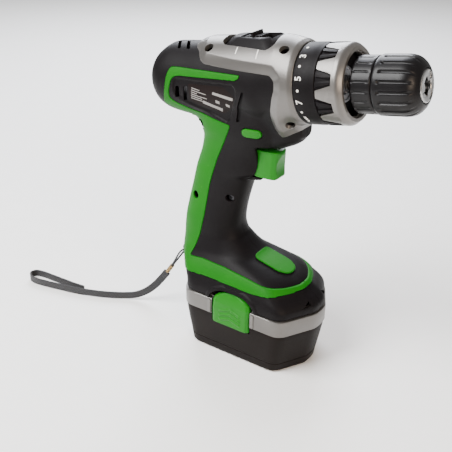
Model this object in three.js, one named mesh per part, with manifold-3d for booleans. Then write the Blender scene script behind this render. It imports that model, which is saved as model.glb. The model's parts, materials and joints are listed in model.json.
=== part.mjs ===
// Cordless drill with a clip-in battery pack, built as an assembly of separate pieces.
// Millimetres, +Z up, +X towards the chuck, +Y to the tool's left.
// The origin is the centre of the pack's underside, on which the tool stands.

import * as THREE from 'three';
import { mergeVertices } from 'three/addons/utils/BufferGeometryUtils.js';
import Module from 'manifold-3d';

const wasm = await Module();
wasm.setup();

// ---------------------------------------------------------------- driving sizes

const GAP = 0.3;
const SEAM = 0.15;
const WALL = 2.4;
const RUNNING = 0.5;

const BARREL = { height: 225.4, tiltDeg: 9.6, radius: 27.4, rear: -91.5, front: 39.5 };
const GRIP_SKIN = { proud: 0.5, depth: 1.2 };
const COVER_SKIN = { thickness: 1.5 };

const PACK = {
  halfLength: 62, halfWidth: 37.9, flatHalf: 44.8, noseX: 58.1, noseY: 14,
  footprint: 0.89, bandBottom: 37.3, bandTop: 51, deck: 52.7, step: 5, wall: 1.6, floor: 2.4,
};
const TOWER = { x: -38.7, radius: 15.8, top: 106.4, wall: 2, flat: 10.5 };
const CELL = { radius: 10.85, length: 42.5, pitch: 22.1, rowPitch: 19.15, low: 4 };
const CROSS_CELL = { x: -15.4, z: 58.4, wall: 1.6 };
const TOWER_CELL = { x: TOWER.x - 1.4, z: 68.6 };
const LATCH = { halfWidth: 18, bottom: 31, top: 60.5, depth: 4.6, proud: 1.4, travel: 2.4 };
const LATCH_SPRING = { radius: 2.4, seat: 26.9, x: CELL.pitch / 2, z: 40, postTop: 44 };
const RIB = { halfLength: 12.6, inner: 24.2, outer: 28.6, top: 62.7 };
const FOOT_BOTTOM = PACK.bandTop + GAP;

const MOTOR = { rear: -74, front: -22, radius: 19, wall: 1.6, shaft: 2.5, armature: 14.5 };
const GEAR = { module: 1.14, sun: 9, planet: 12, width: 7, slack: 0.34 };
const RING_TEETH = GEAR.sun + 2 * GEAR.planet;
const STAGE = { first: -14, second: 2, carrier: 3 };
const CASE = { rear: -17, front: 39, radius: BARREL.radius - WALL - 0.6, bore: 20.6, nose: 12.5, noseFront: 66 };
const SPINDLE = { radius: 6, rear: 12, front: 96 };
const BEARING = { outer: 11, width: 7, x: 56 };

const COLLAR = {
  rear: 40.1, numberFront: 56.5, crownFront: 75.8, radius: 28.6, crownRadius: 28.3,
  rimRadius: 25.3, mouth: 22.6, bore: 24.8,
};
const TEETH = { count: 9, phaseDeg: 11, rear: 56.5, front: 69, rearHalf: 2.7, frontHalf: 6.1, depth: 2.2 };
const CLUTCH = { nutRear: 58, nutFront: 66, springRear: 42.5, springRadius: 17.2, wire: 2.2, turns: 4 };

const CHUCK = {
  rear: 77.5, seam: 93.2, front: 124.4, sleeveRadius: 20.4, rearRadius: 20,
  bodyRadius: 15.4, noseRadius: 10.9, bore: 5.85, sleeveBore: 17,
};
const FLUTES = { count: 18, phaseDeg: 11, radius: 1.5, out: 0.5, rear: 4.5, front: 4.5 };
const JAW = { radius: 3, tiltDeg: 12, mouthRadius: 6.7, length: 24, grip: 3.6 };
const JAW_RETRACT = 8;

const TRIGGER = { rear: -6, front: 19.6, bottom: 153.4, top: 176, halfWidth: 9.4, travel: 8 };
const BUTTON = { x: 2.4, z: 191.6, halfLength: 7.4, halfHeight: 3.4, reach: 22.6 };
const SLIDER = {
  rear: -9, length: 14, halfWidth: 7, base: BARREL.radius + 2.4, top: BARREL.radius + 7.2, travel: 9,
};
const BEZEL = { rear: -25, front: 21, halfWidth: 13.5, top: BARREL.radius + 6, floor: BARREL.radius - 5.4 };
const SWITCH = { rear: -38, front: -16.5, bottom: 141, top: 172, halfWidth: 8.5 };
const TRIGGER_SPRING = { radius: 2.6, turns: 4, wire: 0.9, z: 166 };
const SCREW = { head: 2.9, shank: 1.5, length: 14 };

const HANDLE_POINTS = 16;
const BARREL_POINTS = 20;
const CHIN_POINTS = 12;
const EAR = { x: -PACK.halfLength - 6.4, z: 66, radius: 4.4, hole: 1.9, halfWidth: 3.2 };

// ---------------------------------------------------------------- solids

function solid(geometry) {
  const bare = geometry.clone();
  bare.deleteAttribute('normal');
  bare.deleteAttribute('uv');
  const merged = mergeVertices(bare, 1e-4);
  const vertProperties = new Float32Array(merged.attributes.position.array);
  const triVerts = new Uint32Array(merged.index.array);
  return new wasm.Manifold(new wasm.Mesh({ numProp: 3, vertProperties, triVerts }));
}

function toGeometry(manifold) {
  const mesh = manifold.getMesh();
  const geometry = new THREE.BufferGeometry();
  geometry.setAttribute('position', new THREE.BufferAttribute(mesh.vertProperties, 3));
  geometry.setIndex(new THREE.BufferAttribute(mesh.triVerts, 1));
  return geometry;
}

function cut(base, ...tools) {
  return tools.reduce((left, tool) => left.subtract(tool), base);
}

function join(base, ...others) {
  return others.reduce((left, other) => left.add(other), base);
}

function block(x0, x1, y0, y1, z0, z1) {
  const geometry = new THREE.BoxGeometry(x1 - x0, y1 - y0, z1 - z0);
  geometry.translate((x0 + x1) / 2, (y0 + y1) / 2, (z0 + z1) / 2);
  return solid(geometry);
}

function shapeOf(points) {
  return new THREE.Shape(points.map(([u, v]) => new THREE.Vector2(u, v)));
}

// A prism whose outline lies in the plane across `axis`.
function prism(points, axis, from, to, holes = []) {
  const shape = shapeOf(points);
  shape.holes = holes.map((hole) => new THREE.Path(hole.map(([u, v]) => new THREE.Vector2(u, v))));
  const geometry = new THREE.ExtrudeGeometry(shape, { depth: to - from, bevelEnabled: false });
  const basis = new THREE.Matrix4();
  if (axis === 'x') {
    basis.set(0, 0, 1, from, 1, 0, 0, 0, 0, 1, 0, 0, 0, 0, 0, 1);
  } else if (axis === 'y') {
    basis.set(1, 0, 0, 0, 0, 0, -1, to, 0, 1, 0, 0, 0, 0, 0, 1);
  } else {
    basis.makeTranslation(0, 0, from);
  }
  geometry.applyMatrix4(basis);
  return solid(geometry);
}

function circle(radius, segments, cx = 0, cy = 0, phase = 0) {
  return Array.from({ length: segments }, (_, i) => {
    const angle = phase + (2 * Math.PI * i) / segments;
    return [cx + radius * Math.cos(angle), cy + radius * Math.sin(angle)];
  });
}

// A turned piece about the X axis; the profile is a list of [x, radius].
function turned(profile, segments = 32) {
  const points = profile.map(([x, r]) => new THREE.Vector2(r, x));
  const geometry = new THREE.LatheGeometry(points, segments);
  geometry.rotateZ(-Math.PI / 2);
  return solid(geometry);
}

function rod(radius, from, to, segments = 24) {
  return turned([[from, 0], [from, radius], [to, radius], [to, 0]], segments);
}

function tube(outer, inner, from, to, segments = 32) {
  return turned([[from, inner], [from, outer], [to, outer], [to, inner], [from, inner]], segments);
}

function rodY(radius, x, z, from, to, segments = 16) {
  return prism(circle(radius, segments, x, z), 'y', from, to);
}

function rodZ(radius, x, y, from, to, segments = 16) {
  return prism(circle(radius, segments, x, y), 'z', from, to);
}

// A skin through closed rings of equal length, with flat ends.
function loft(rings) {
  const count = rings[0].length;
  const positions = [];
  rings.forEach((ring) => ring.forEach((p) => positions.push(...p)));
  const index = [];
  for (let r = 0; r < rings.length - 1; r += 1) {
    for (let i = 0; i < count; i += 1) {
      const j = (i + 1) % count;
      const a = r * count + i;
      const b = r * count + j;
      index.push(a, b, b + count, a, b + count, a + count);
    }
  }
  [0, rings.length - 1].forEach((r) => {
    const centre = positions.length / 3;
    const mean = [0, 1, 2].map((k) => rings[r].reduce((sum, p) => sum + p[k], 0) / count);
    positions.push(...mean);
    for (let i = 0; i < count; i += 1) {
      const a = r * count + i;
      const b = r * count + ((i + 1) % count);
      index.push(...(r === 0 ? [centre, b, a] : [centre, a, b]));
    }
  });
  const geometry = new THREE.BufferGeometry();
  geometry.setAttribute('position', new THREE.Float32BufferAttribute(positions, 3));
  geometry.setIndex(index);
  return solid(geometry);
}

function superellipse(angle, a, b, power) {
  const c = Math.cos(angle);
  const s = Math.sin(angle);
  const u = a * Math.sign(c) * Math.abs(c) ** (2 / power);
  const v = b * Math.sign(s) * Math.abs(s) ** (2 / power);
  return [u, v];
}

// ---------------------------------------------------------------- outlines

// The pack's plan: long straight sides, slanted shoulders and blunt ends.
function packPlan(scale = 1, inset = 0) {
  const quarter = [
    [PACK.halfLength, 0],
    [PACK.halfLength - 0.7, PACK.noseY * 0.6],
    [PACK.noseX, PACK.noseY],
    [PACK.flatHalf + 2.6, PACK.halfWidth - 4.4],
    [PACK.flatHalf - 1.6, PACK.halfWidth - 0.9],
    [PACK.flatHalf - 5.5, PACK.halfWidth],
  ];
  const right = quarter.map(([x, y]) => {
    const size = Math.hypot(x, y);
    const grow = scale - inset / size;
    return [x * grow, y * grow];
  });
  const left = right.slice(1).reverse().map(([x, y]) => [-x, y]);
  const upper = [...right, ...left];
  const lower = upper.slice(1).reverse().map(([x, y]) => [x, -y]);
  return [...upper, [-right[0][0], 0], ...lower];
}

function planRadius(angle) {
  const plan = packPlan();
  const dx = Math.cos(angle);
  const dy = Math.sin(angle);
  let reach = 0;
  plan.forEach(([ax, ay], i) => {
    const [bx, by] = plan[(i + 1) % plan.length];
    const ex = bx - ax;
    const ey = by - ay;
    const det = dx * -ey + dy * ex;
    if (Math.abs(det) < 1e-9) return;
    const t = (ax * -ey + ay * ex) / det;
    const s = (dx * ay - dy * ax) / det;
    if (t > 0 && s >= -1e-6 && s <= 1 + 1e-6) reach = Math.max(reach, t);
  });
  return reach;
}

// Handle and foot: [z, rear x, front x, half width, power, share of the pack's plan]
const HANDLE_SECTIONS = [
  [FOOT_BOTTOM, 1 - PACK.halfLength, PACK.halfLength - 1, PACK.halfWidth - 0.7, 3, 1],
  [64, 1.2 - PACK.halfLength, PACK.halfLength - 5, PACK.halfWidth - 3.1, 3, 0.85],
  [69, -61, 53, 32.4, 3, 0.65],
  [73, -61.4, 48, 30, 3, 0.4],
  [76.5, -62, 39.5, 27.6, 3, 0.2],
  [80, -62.8, 25, 25.2, 2.8, 0],
  [84, -63.6, 8, 23, 2.6, 0],
  [96, -65, -12, 19.9, 2.5, 0],
  [106, -64.8, -15.4, 19.3, 2.5, 0],
  [118, -62.8, -13.8, 18.2, 2.4, 0],
  [134, -59.2, -10.8, 17.2, 2.4, 0],
  [152.5, -55, -1.5, 17, 2.4, 0],
  [168, -49.5, 2, 17.4, 2.4, 0],
  [178, -47.5, 14, 18.4, 2.4, 0],
  [188, -51.5, 20, 20.4, 2.4, 0],
  [206, -62, 24, 22.4, 2.3, 0],
];

// Motor housing and gear nose: [x, centre z, half height, half width]
const BARREL_SECTIONS = [
  [BARREL.rear, 4, 14, 15],
  [BARREL.rear + 1.6, 4, 17.6, 19.4],
  [BARREL.rear + 5.5, 3.6, 21.9, 23],
  [BARREL.rear + 11.5, 2.9, 24.4, 25.1],
  [BARREL.rear + 21.5, 1.8, 25.8, 26.2],
  [BARREL.rear + 36.5, 0.4, 27, 26.9],
  [-40, 0, BARREL.radius, BARREL.radius],
  [24, 0, BARREL.radius, BARREL.radius],
  [BARREL.front, 0, BARREL.radius - 0.5, BARREL.radius - 0.5],
];

// Chin under the gear nose: [x, lowest z, half width]
const CHIN_SECTIONS = [
  [-4, -49.5, 12.5],
  [8, -49.5, 13],
  [22, -45.6, 13.4],
  [37, -39.6, 13],
  [BARREL.front + 1.5, -36.6, 11.4],
];

function handleLoft(grow, extra = 0) {
  const rings = HANDLE_SECTIONS.map(([z, rear, front, half, power, share], row) => {
    const a = (front - rear) / 2;
    const cx = (front + rear) / 2;
    const drop = row === 0 ? extra : 0;
    return Array.from({ length: HANDLE_POINTS }, (_, i) => {
      const angle = (2 * Math.PI * i) / HANDLE_POINTS;
      const [u, v] = superellipse(angle, a + grow, half + grow, power);
      const ray = Math.atan2(v / half, u / a);
      const reach = planRadius(Math.atan2(Math.sin(ray) * PACK.halfWidth, Math.cos(ray) * PACK.halfLength));
      const flat = Math.atan2(Math.sin(ray) * PACK.halfWidth, Math.cos(ray) * PACK.halfLength);
      const pu = (reach * Math.cos(flat) * (a + grow)) / PACK.halfLength;
      const pv = (reach * Math.sin(flat) * (half + grow)) / PACK.halfWidth;
      return [cx + u + (pu - u) * share, v + (pv - v) * share, z - drop];
    });
  });
  return loft(rings);
}

function alongX(rows, count = BARREL_POINTS) {
  return loft(rows.map(([x, cz, halfHeight, halfWidth, power]) => (
    Array.from({ length: count }, (_, i) => {
      const [y, z] = superellipse((2 * Math.PI * i) / count, halfWidth, halfHeight, power);
      return [x, y, cz + z];
    })
  )));
}

function barrelLoft(grow) {
  return alongX(BARREL_SECTIONS.map(([x, cz, h, w], i) => {
    const reach = i === 0 ? -grow : 0;
    return [x + reach, cz, h + grow, w + grow, 2.05];
  }));
}

function chinLoft(grow) {
  const top = -12;
  const shrink = Math.min(grow, 0);
  const ends = [-shrink, ...CHIN_SECTIONS.slice(2).map(() => 0), shrink];
  return alongX(CHIN_SECTIONS.map(([x, low, half], i) => {
    const centre = (top + low) / 2;
    return [x + ends[i], centre, (top - low) / 2 + grow, half + grow, 2.5];
  }), CHIN_POINTS);
}

const tilt = THREE.MathUtils.degToRad(BARREL.tiltDeg);

// Moves a solid from the barrel's own frame to the tool's frame.
function placeOnBarrel(manifold) {
  const c = Math.cos(tilt);
  const s = Math.sin(tilt);
  return manifold.transform([c, 0, s, 0, 0, 1, 0, 0, -s, 0, c, 0, 0, 0, BARREL.height, 1]);
}

// The outside of the whole casing, grown by a distance.
function casing(grow, extra = 0) {
  return join(handleLoft(grow, extra), placeOnBarrel(join(barrelLoft(grow), chinLoft(grow))));
}

const side = {
  right: block(-200, 200, -100, -SEAM, -20, 320),
  left: block(-200, 200, SEAM, 100, -20, 320),
};

// ---------------------------------------------------------------- casing pieces

// Outlines across the tool, in the barrel's frame unless said otherwise.
const COVER_OUTLINE = [
  [-52, 45], [-50, 29], [-43.8, 26], [-41, 21.6], [-36.7, 18.2], [-10.8, 14.5], [21.5, 11],
  [25, 7.5], [25, 1.5], [21.7, -6.2], [17.1, -18], [15.8, -30], [18.5, -38],
  [BARREL.front + 2, -31], [BARREL.front + 2, 45],
];

const BAND_OUTLINE = [
  [-68.5, 14.6], [-64.5, 16.2], [-4.5, 10.6], [-4.2, 7.4], [-7.5, 6], [-63.2, 9.6], [-66, 6],
  [-67.4, -1], [-64, -7.5], [-56, -12.5], [-22, -30.5],
];

// Down the handle's back and forward around the foot, in the tool's frame.
const GRIP_BACK = [
  [-13.4, 186], [-27, 155.6], [-35.2, 127.7], [-38.9, 104.3], [-42.5, 86],
  [-50, 74.2], [-32, 72.4], [-8, 71.4], [14, 69.6], [30, 67.4], [40, 67.4], [70, 67.4],
  [70, 63.2], [40, 63], [26, 61.6], [10, 61], [-12, 60.6], [-35, 59.6], [-75, 58],
];

const BAND_REAR = [[-74.5, -2], [-70, 13.8]];

function offsetOutline(points, grow) {
  const count = points.length;
  const area = points.reduce((sum, [x, y], i) => {
    const [nx, ny] = points[(i + 1) % count];
    return sum + x * ny - nx * y;
  }, 0);
  const turn = Math.sign(area);
  return points.map(([x, y], i) => {
    const [px, py] = points[(i + count - 1) % count];
    const [nx, ny] = points[(i + 1) % count];
    const before = Math.hypot(x - px, y - py);
    const after = Math.hypot(nx - x, ny - y);
    const ax = (turn * (y - py)) / before;
    const ay = (-turn * (x - px)) / before;
    const bx = (turn * (ny - y)) / after;
    const by = (-turn * (nx - x)) / after;
    const share = grow / Math.max(0.35, 1 + ax * bx + ay * by);
    return [x + (ax + bx) * share, y + (ay + by) * share];
  });
}

function toTool([x, z]) {
  const c = Math.cos(tilt);
  const s = Math.sin(tilt);
  return [x * c - z * s, BARREL.height + x * s + z * c];
}

// One outline for the whole soft grip of a side: the band, the grip and the foot stripe.
function gripOutline() {
  const band = [...BAND_REAR, ...BAND_OUTLINE].map(toTool);
  const webTop = toTool([-46.7, -31.4]);
  const handle = [...GRIP_BACK, [-75, 150], [-60, 170], [-52, 180], webTop];
  const under = [[-56.8, -21.4], [-67.2, -19], [-80.2, -13]].map(toTool);
  return [...band, ...handle, [-62, 189], ...under];
}

const outline = gripOutline();
const gripPrism = prism(outline, 'y', -60, 60);
const gripGroove = prism(offsetOutline(outline, GAP), 'y', -60, 60);

const outer = casing(0);
const cavity = casing(-WALL, 4);

// The biggest body of a cut, without the slivers that a cut leaves.
function main(manifold) {
  return manifold.decompose().sort((a, b) => b.volume() - a.volume())[0];
}

function onBarrel(...parts) {
  return placeOnBarrel(join(...parts));
}

function triggerWell() {
  const t = TRIGGER;
  const reach = t.halfWidth + GAP + 0.4;
  return block(t.rear - t.travel - 4, t.front + 20, -reach, reach, t.bottom - 0.6, t.top + 0.6);
}

function buttonHole() {
  const b = BUTTON;
  return prism(stadium(b.halfLength + RUNNING, b.halfHeight + RUNNING, b.x, b.z), 'y', -60, 60);
}

function stadium(halfLength, radius, cx, cy, steps = 6) {
  const points = [];
  [[1, -Math.PI / 2], [-1, Math.PI / 2]].forEach(([sign, start]) => {
    for (let i = 0; i <= steps; i += 1) {
      const angle = start + (Math.PI * i) / steps;
      const u = cx + sign * (halfLength - radius) + radius * Math.cos(angle);
      points.push([u, cy + radius * Math.sin(angle)]);
    }
  });
  return points;
}

// The arch in the foot's skirt that gives room to a latch.
function latchArch() {
  const w = LATCH.halfWidth + 4;
  const arch = [
    [w, FOOT_BOTTOM - 6], [w, FOOT_BOTTOM + 1], [w - 4, LATCH.top - 2.5],
    [w - 12, LATCH.top + 1.2], [12 - w, LATCH.top + 1.2], [4 - w, LATCH.top - 2.5],
    [-w, FOOT_BOTTOM + 1], [-w, FOOT_BOTTOM - 6],
  ];
  const depth = PACK.halfWidth - RIB.outer - 1.5;
  return [1, -1].map((s) => {
    const near = s > 0 ? PACK.halfWidth - depth : -60;
    const far = s > 0 ? 60 : depth - PACK.halfWidth;
    return prism(arch, 'y', near, far);
  });
}

// Where the gear nose leaves the casing the barrel is open for the collar and the gears.
function noseBore() {
  return rod(CASE.radius + RUNNING, BARREL.front - WALL - 3, BARREL.front + 6, 32);
}

// The collar turns in front of the casing, so the chin is cut back around it.
function collarRoom() {
  return rod(COLLAR.radius + RUNNING, BARREL.front, 90, 36);
}

function bezelOutline(grow) {
  const b = BEZEL;
  const w = b.halfWidth + grow;
  return [
    [b.rear + 4 - grow, -w], [b.front - 5 + grow, -w], [b.front + grow, 4 - w],
    [b.front + grow, w - 4], [b.front - 5 + grow, w], [b.rear + 4 - grow, w],
    [b.rear - grow, w - 5], [b.rear - grow, 5 - w],
  ];
}

const bezelCut = prism(bezelOutline(GAP), 'z', BEZEL.floor - GAP, 60);

const VENTS = [-66, -58];

function ventCuts() {
  const cuts = [];
  [-1, 1].forEach((s) => {
    VENTS.forEach((x) => {
      const yTop = s * 8.5;
      cuts.push(block(x - 1.6, x + 1.6, yTop - 5, yTop + 5, 18, 40));
      const near = s > 0 ? 18 : -40;
      cuts.push(block(x + 2.4, x + 5.6, near, near + 22, -9, 1));
    });
  });
  return join(...cuts);
}

// Screws that clamp the halves: [x, z] in the tool's frame, and the side face's depth there.
const CASE_SCREWS = [
  { name: 'web_screw', x: -46.2, z: 188.6, y: -11.6 },
  { name: 'back_screw', x: -50, z: 126.9, y: -13.4 },
  { name: 'handle_screw', x: -18, z: 131.8, y: -14.6 },
];
const COVER_SCREWS = [
  { name: 'cover_rear_screw', x: -33.5, angle: 30 },
  { name: 'cover_front_screw', x: 29.8, angle: 32 },
  { name: 'cover_lower_screw', x: 28, angle: 146 },
];

function screw(head, shank, length) {
  const socket = prism(circle(head * 0.5, 6), 'x', -0.9, 0.1);
  const body = join(rod(head, -1.6, 0, 12), rod(shank, -length, -1.2, 8));
  return cut(body, socket);
}

// A screw's pocket: wide where the head sits and open to the outside.
function screwPocket(head, shank, length) {
  return join(rod(head + GAP, -1.6 - GAP, 30, 12), rod(shank + GAP, -length - GAP, 0, 8));
}

function aimed(manifold, from, direction) {
  const x = new THREE.Vector3(...direction).normalize();
  const helper = Math.abs(x.z) > 0.9 ? new THREE.Vector3(0, 1, 0) : new THREE.Vector3(0, 0, 1);
  const y = new THREE.Vector3().crossVectors(helper, x).normalize();
  const z = new THREE.Vector3().crossVectors(x, y);
  return manifold.transform([x.x, x.y, x.z, 0, y.x, y.y, y.z, 0, z.x, z.y, z.z, 0, ...from, 1]);
}

const SCREW_SINK = 1.2;

function coverScrewPlace(s) {
  const a = THREE.MathUtils.degToRad(s.angle);
  const out = [0, -Math.sin(a), Math.cos(a)];
  const r = BARREL.radius + COVER_SKIN.thickness - SCREW_SINK;
  return { at: [s.x, r * out[1], r * out[2]], out };
}

function coverScrewSolids(make, length) {
  return COVER_SCREWS.map((s) => {
    const { at, out } = coverScrewPlace(s);
    return placeOnBarrel(aimed(make(SCREW.head, SCREW.shank, length), at, out));
  });
}

const COVER_SCREW_LENGTH = 2.9;

function caseScrewSolids(make) {
  return CASE_SCREWS.map((s) => (
    aimed(make(SCREW.head, SCREW.shank, SCREW.length), [s.x, s.y, s.z], [0, -1, 0])
  ));
}

// A boss for each clamping screw, from the inside of one half to the other.
function bosses() {
  return join(...CASE_SCREWS.map((s) => (
    rodY(SCREW.head + 1.4, s.x, s.z, s.y - 2, 14)
  ))).intersect(casing(-0.2));
}

const casePockets = join(...caseScrewSolids(screwPocket));
const coverPockets = join(...coverScrewSolids(screwPocket, COVER_SCREW_LENGTH));

const wellCuts = [triggerWell(), buttonHole(), deckRoom(), ...latchArch()];
const barrelCuts = placeOnBarrel(join(noseBore(), collarRoom(), bezelCut, ventCuts()));

function earHole(grow) {
  return rodY(EAR.radius + grow, EAR.x + 3, EAR.z, -EAR.halfWidth - grow, EAR.halfWidth + grow, 16);
}

function housing(which) {
  const groove = cut(gripGroove, casing(-GRIP_SKIN.depth - GAP));
  const hollow = cut(outer, cavity).add(bosses());
  const body = cut(hollow, groove, ...wellCuts, barrelCuts, casePockets, coverPockets, earHole(GAP));
  return main(body.intersect(side[which]));
}

function grip(which) {
  const skin = cut(casing(GRIP_SKIN.proud).intersect(gripPrism), casing(-GRIP_SKIN.depth));
  return main(cut(skin, casePockets, earHole(GAP), ...latchArch()).intersect(side[which]));
}

function gearCover(which) {
  const region = placeOnBarrel(prism(COVER_OUTLINE, 'y', -60, 60));
  const front = placeOnBarrel(block(BARREL.front, 90, -60, 60, -60, 60));
  const skin = cut(casing(COVER_SKIN.thickness + GAP), casing(GAP), front);
  return main(cut(skin.intersect(region), coverPockets, barrelCuts).intersect(side[which]));
}

function footPad() {
  const outlinePad = [
    [3.4, -8.4], [5.8, -10.4], [26, -10.4], [32.4, -7], [34.4, -2.6],
    [34.4, 2.6], [32.4, 7], [26, 10.4], [5.8, 10.4], [3.4, 8.4],
  ];
  return cut(casing(1.7), casing(GAP)).intersect(prism(outlinePad, 'z', 66, 110));
}

function speedBezel() {
  const rimTop = BEZEL.top;
  const base = prism(bezelOutline(0), 'z', BEZEL.floor, rimTop + 2);
  const crown = alongX([
    [BEZEL.rear - 0.1, 0, 29.4, 29, 2],
    [BEZEL.rear + 6, 0, rimTop, 32, 2],
    [BEZEL.front - 7, 0, rimTop + 0.8, 32.4, 2],
    [BEZEL.front + 0.1, 0, 30, 30, 2],
  ]);
  const track = block(
    SLIDER.rear - 1.5, SLIDER.rear + SLIDER.length + SLIDER.travel + 1.5,
    -SLIDER.halfWidth - 1.2, SLIDER.halfWidth + 1.2, SLIDER.base - 1.6, 60,
  );
  const slot = block(
    SLIDER.rear + 3, SLIDER.rear + SLIDER.length + SLIDER.travel - 3, -3.6, 3.6, 10, 60,
  );
  return cut(base.intersect(crown), track, slot, rod(CASE.radius + 0.6, -60, 60, 32));
}

function speedSlider() {
  const { rear, length, halfWidth, base, top } = SLIDER;
  const front = rear + length;
  const ridge = (x) => [[x, top - 1.2], [x + 0.9, top], [x + 1.8, top - 1.2]];
  const profile = [
    [rear, base - 1.1], [front, base - 1.1], [front, top - 1.6],
    ...[3, 2, 1, 0].flatMap((i) => ridge(rear + 1.8 + i * 2.9).reverse()), [rear, top - 1.6],
  ];
  const stem = block(rear + 5, rear + 9, -2.6, 2.6, CASE.radius + 1.2, base);
  return join(prism(profile, 'y', -halfWidth, halfWidth), stem);
}

// ---------------------------------------------------------------- drive train

function gearOutline(teeth, rootShift, tipShift, phase, toothShare) {
  const pitch = (GEAR.module * teeth) / 2;
  const step = (2 * Math.PI) / teeth;
  const points = [];
  for (let i = 0; i < teeth; i += 1) {
    const at = phase + i * step;
    const half = (step * toothShare) / 2;
    [[-1.45, rootShift], [-0.72, tipShift], [0.72, tipShift], [1.45, rootShift]].forEach(([k, shift]) => {
      const angle = at + k * half;
      const radius = pitch + shift;
      points.push([radius * Math.cos(angle), radius * Math.sin(angle)]);
    });
  }
  return points;
}

function spurGear(teeth, x, phase) {
  const outlineGear = gearOutline(teeth, -GEAR.module, GEAR.module * 0.8 - GEAR.slack, phase, 0.36);
  return prism(outlineGear, 'x', x, x + GEAR.width);
}

const CENTRE_DISTANCE = (GEAR.module * (GEAR.sun + GEAR.planet)) / 2;
const PLANET_PIN = 1.8;

function planetPlace(k) {
  const angle = (2 * Math.PI * k) / 3;
  return [0, CENTRE_DISTANCE * Math.cos(angle), CENTRE_DISTANCE * Math.sin(angle)];
}

// A planet turned so that its gap faces a tooth of the sun at rest.
function planet(stageX, k) {
  const towards = (2 * Math.PI * k) / 3 + Math.PI;
  const phase = towards + Math.PI / GEAR.planet;
  const bore = rod(PLANET_PIN + 0.25, stageX - 1, stageX + GEAR.width + 1, 16);
  return cut(spurGear(GEAR.planet, stageX, phase), bore).translate(planetPlace(k));
}

function carrierPins(stageX) {
  const pins = [0, 1, 2].map((k) => (
    rod(PLANET_PIN, stageX - 0.6, stageX + GEAR.width + 1, 14).translate(planetPlace(k))
  ));
  return join(...pins);
}

function carrierPlate(stageX) {
  const rear = stageX + GEAR.width + 0.6;
  return rod(CENTRE_DISTANCE + PLANET_PIN + 3.4, rear, rear + STAGE.carrier, 28);
}

function firstCarrier() {
  const sunPhase = 0;
  const sunRear = STAGE.first + GEAR.width + 0.4 + STAGE.carrier;
  const sun = prism(
    gearOutline(GEAR.sun, -GEAR.module, GEAR.module * 0.8 - GEAR.slack, sunPhase, 0.36),
    'x', sunRear, STAGE.second + GEAR.width,
  );
  return join(carrierPlate(STAGE.first), carrierPins(STAGE.first), sun);
}

function rotor() {
  const m = MOTOR;
  const shaft = rod(m.shaft, m.rear - 5, STAGE.first, 16);
  const stack = rod(m.armature, m.rear + 16, m.front - 8, 28);
  const commutator = rod(8, m.rear + 4, m.rear + 13, 24);
  const pinion = spurGear(GEAR.sun, STAGE.first - 0.2, 0);
  return join(shaft, stack, commutator, pinion, fan());
}

function motorCan() {
  const m = MOTOR;
  const inside = m.radius - m.wall;
  const back = m.front - m.wall;
  return turned([
    [m.rear, inside], [m.rear, m.radius], [m.front, m.radius], [m.front, 5], [back, 5],
    [back, inside], [m.rear, inside],
  ], 28);
}

function brushCap() {
  const m = MOTOR;
  const plate = tube(m.radius, m.shaft + 1.2, m.rear - 4.5, m.rear - GAP, 28);
  const holders = [1, -1].map((s) => (
    block(m.rear - 2, m.rear + 9, s > 0 ? 9 : -15.5, s > 0 ? 15.5 : -9, -3.5, 3.5)
  ));
  return join(plate, ...holders);
}

function fan() {
  const m = MOTOR;
  const hub = rod(5, m.front - 7.4, m.front - 2.2, 20);
  const blades = Array.from({ length: 8 }, (_, i) => (
    block(m.front - 7, m.front - 2.6, 4, 14, -0.6, 0.6).rotate([45 * i, 0, 0])
  ));
  return join(hub, ...blades);
}

function gearCase() {
  const c = CASE;
  const face = c.front - 3;
  const seat = BEARING.outer;
  const stop = SPINDLE.radius + 1.4;
  const stopX = BEARING.x + BEARING.width;
  const body = turned([
    [c.rear, 8.4], [c.rear, c.radius], [c.front, c.radius], [c.front, c.nose], [c.noseFront, c.nose],
    [c.noseFront, seat], [stopX + 2, seat], [stopX + 2, stop], [stopX, stop], [stopX, seat],
    [face, seat], [face, c.bore], [c.rear + 2.2, c.bore], [c.rear + 2.2, 8.4], [c.rear, 8.4],
  ], 30);
  return join(body, ringGear());
}

// A planet with an odd number of teeth meets a gap of the ring where one with an even number meets a tooth.
const RING_PHASE = (GEAR.planet % 2) / 2;

// Both stages run inside one ring of teeth.
function ringGear() {
  const pitch = (GEAR.module * RING_TEETH) / 2;
  const step = (2 * Math.PI) / RING_TEETH;
  const innerLine = [];
  for (let i = 0; i < RING_TEETH; i += 1) {
    const at = (i + RING_PHASE) * step;
    const half = step * 0.18;
    [[-1.45, 1], [-0.72, GEAR.slack - 0.78], [0.72, GEAR.slack - 0.78], [1.45, 1]].forEach(([k, s]) => {
      const radius = pitch + s * GEAR.module;
      innerLine.push([radius * Math.cos(at + k * half), radius * Math.sin(at + k * half)]);
    });
  }
  const rim = circle(CASE.bore + 0.8, 30);
  return prism(rim, 'x', STAGE.first - 0.2, STAGE.second + GEAR.width + 0.2, [innerLine]);
}

function spindle() {
  const s = SPINDLE;
  const plate = carrierPlate(STAGE.second);
  return join(plate, carrierPins(STAGE.second), rod(s.radius, s.rear - 1, s.front, 24));
}

function bearing() {
  const b = BEARING;
  return tube(b.outer - 0.06, SPINDLE.radius + 0.06, b.x, b.x + b.width - 0.1, 28);
}

// ---------------------------------------------------------------- torque collar

function numberRing() {
  const c = COLLAR;
  return tube(c.radius, c.bore, c.rear, c.numberFront - GAP, 36);
}

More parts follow.
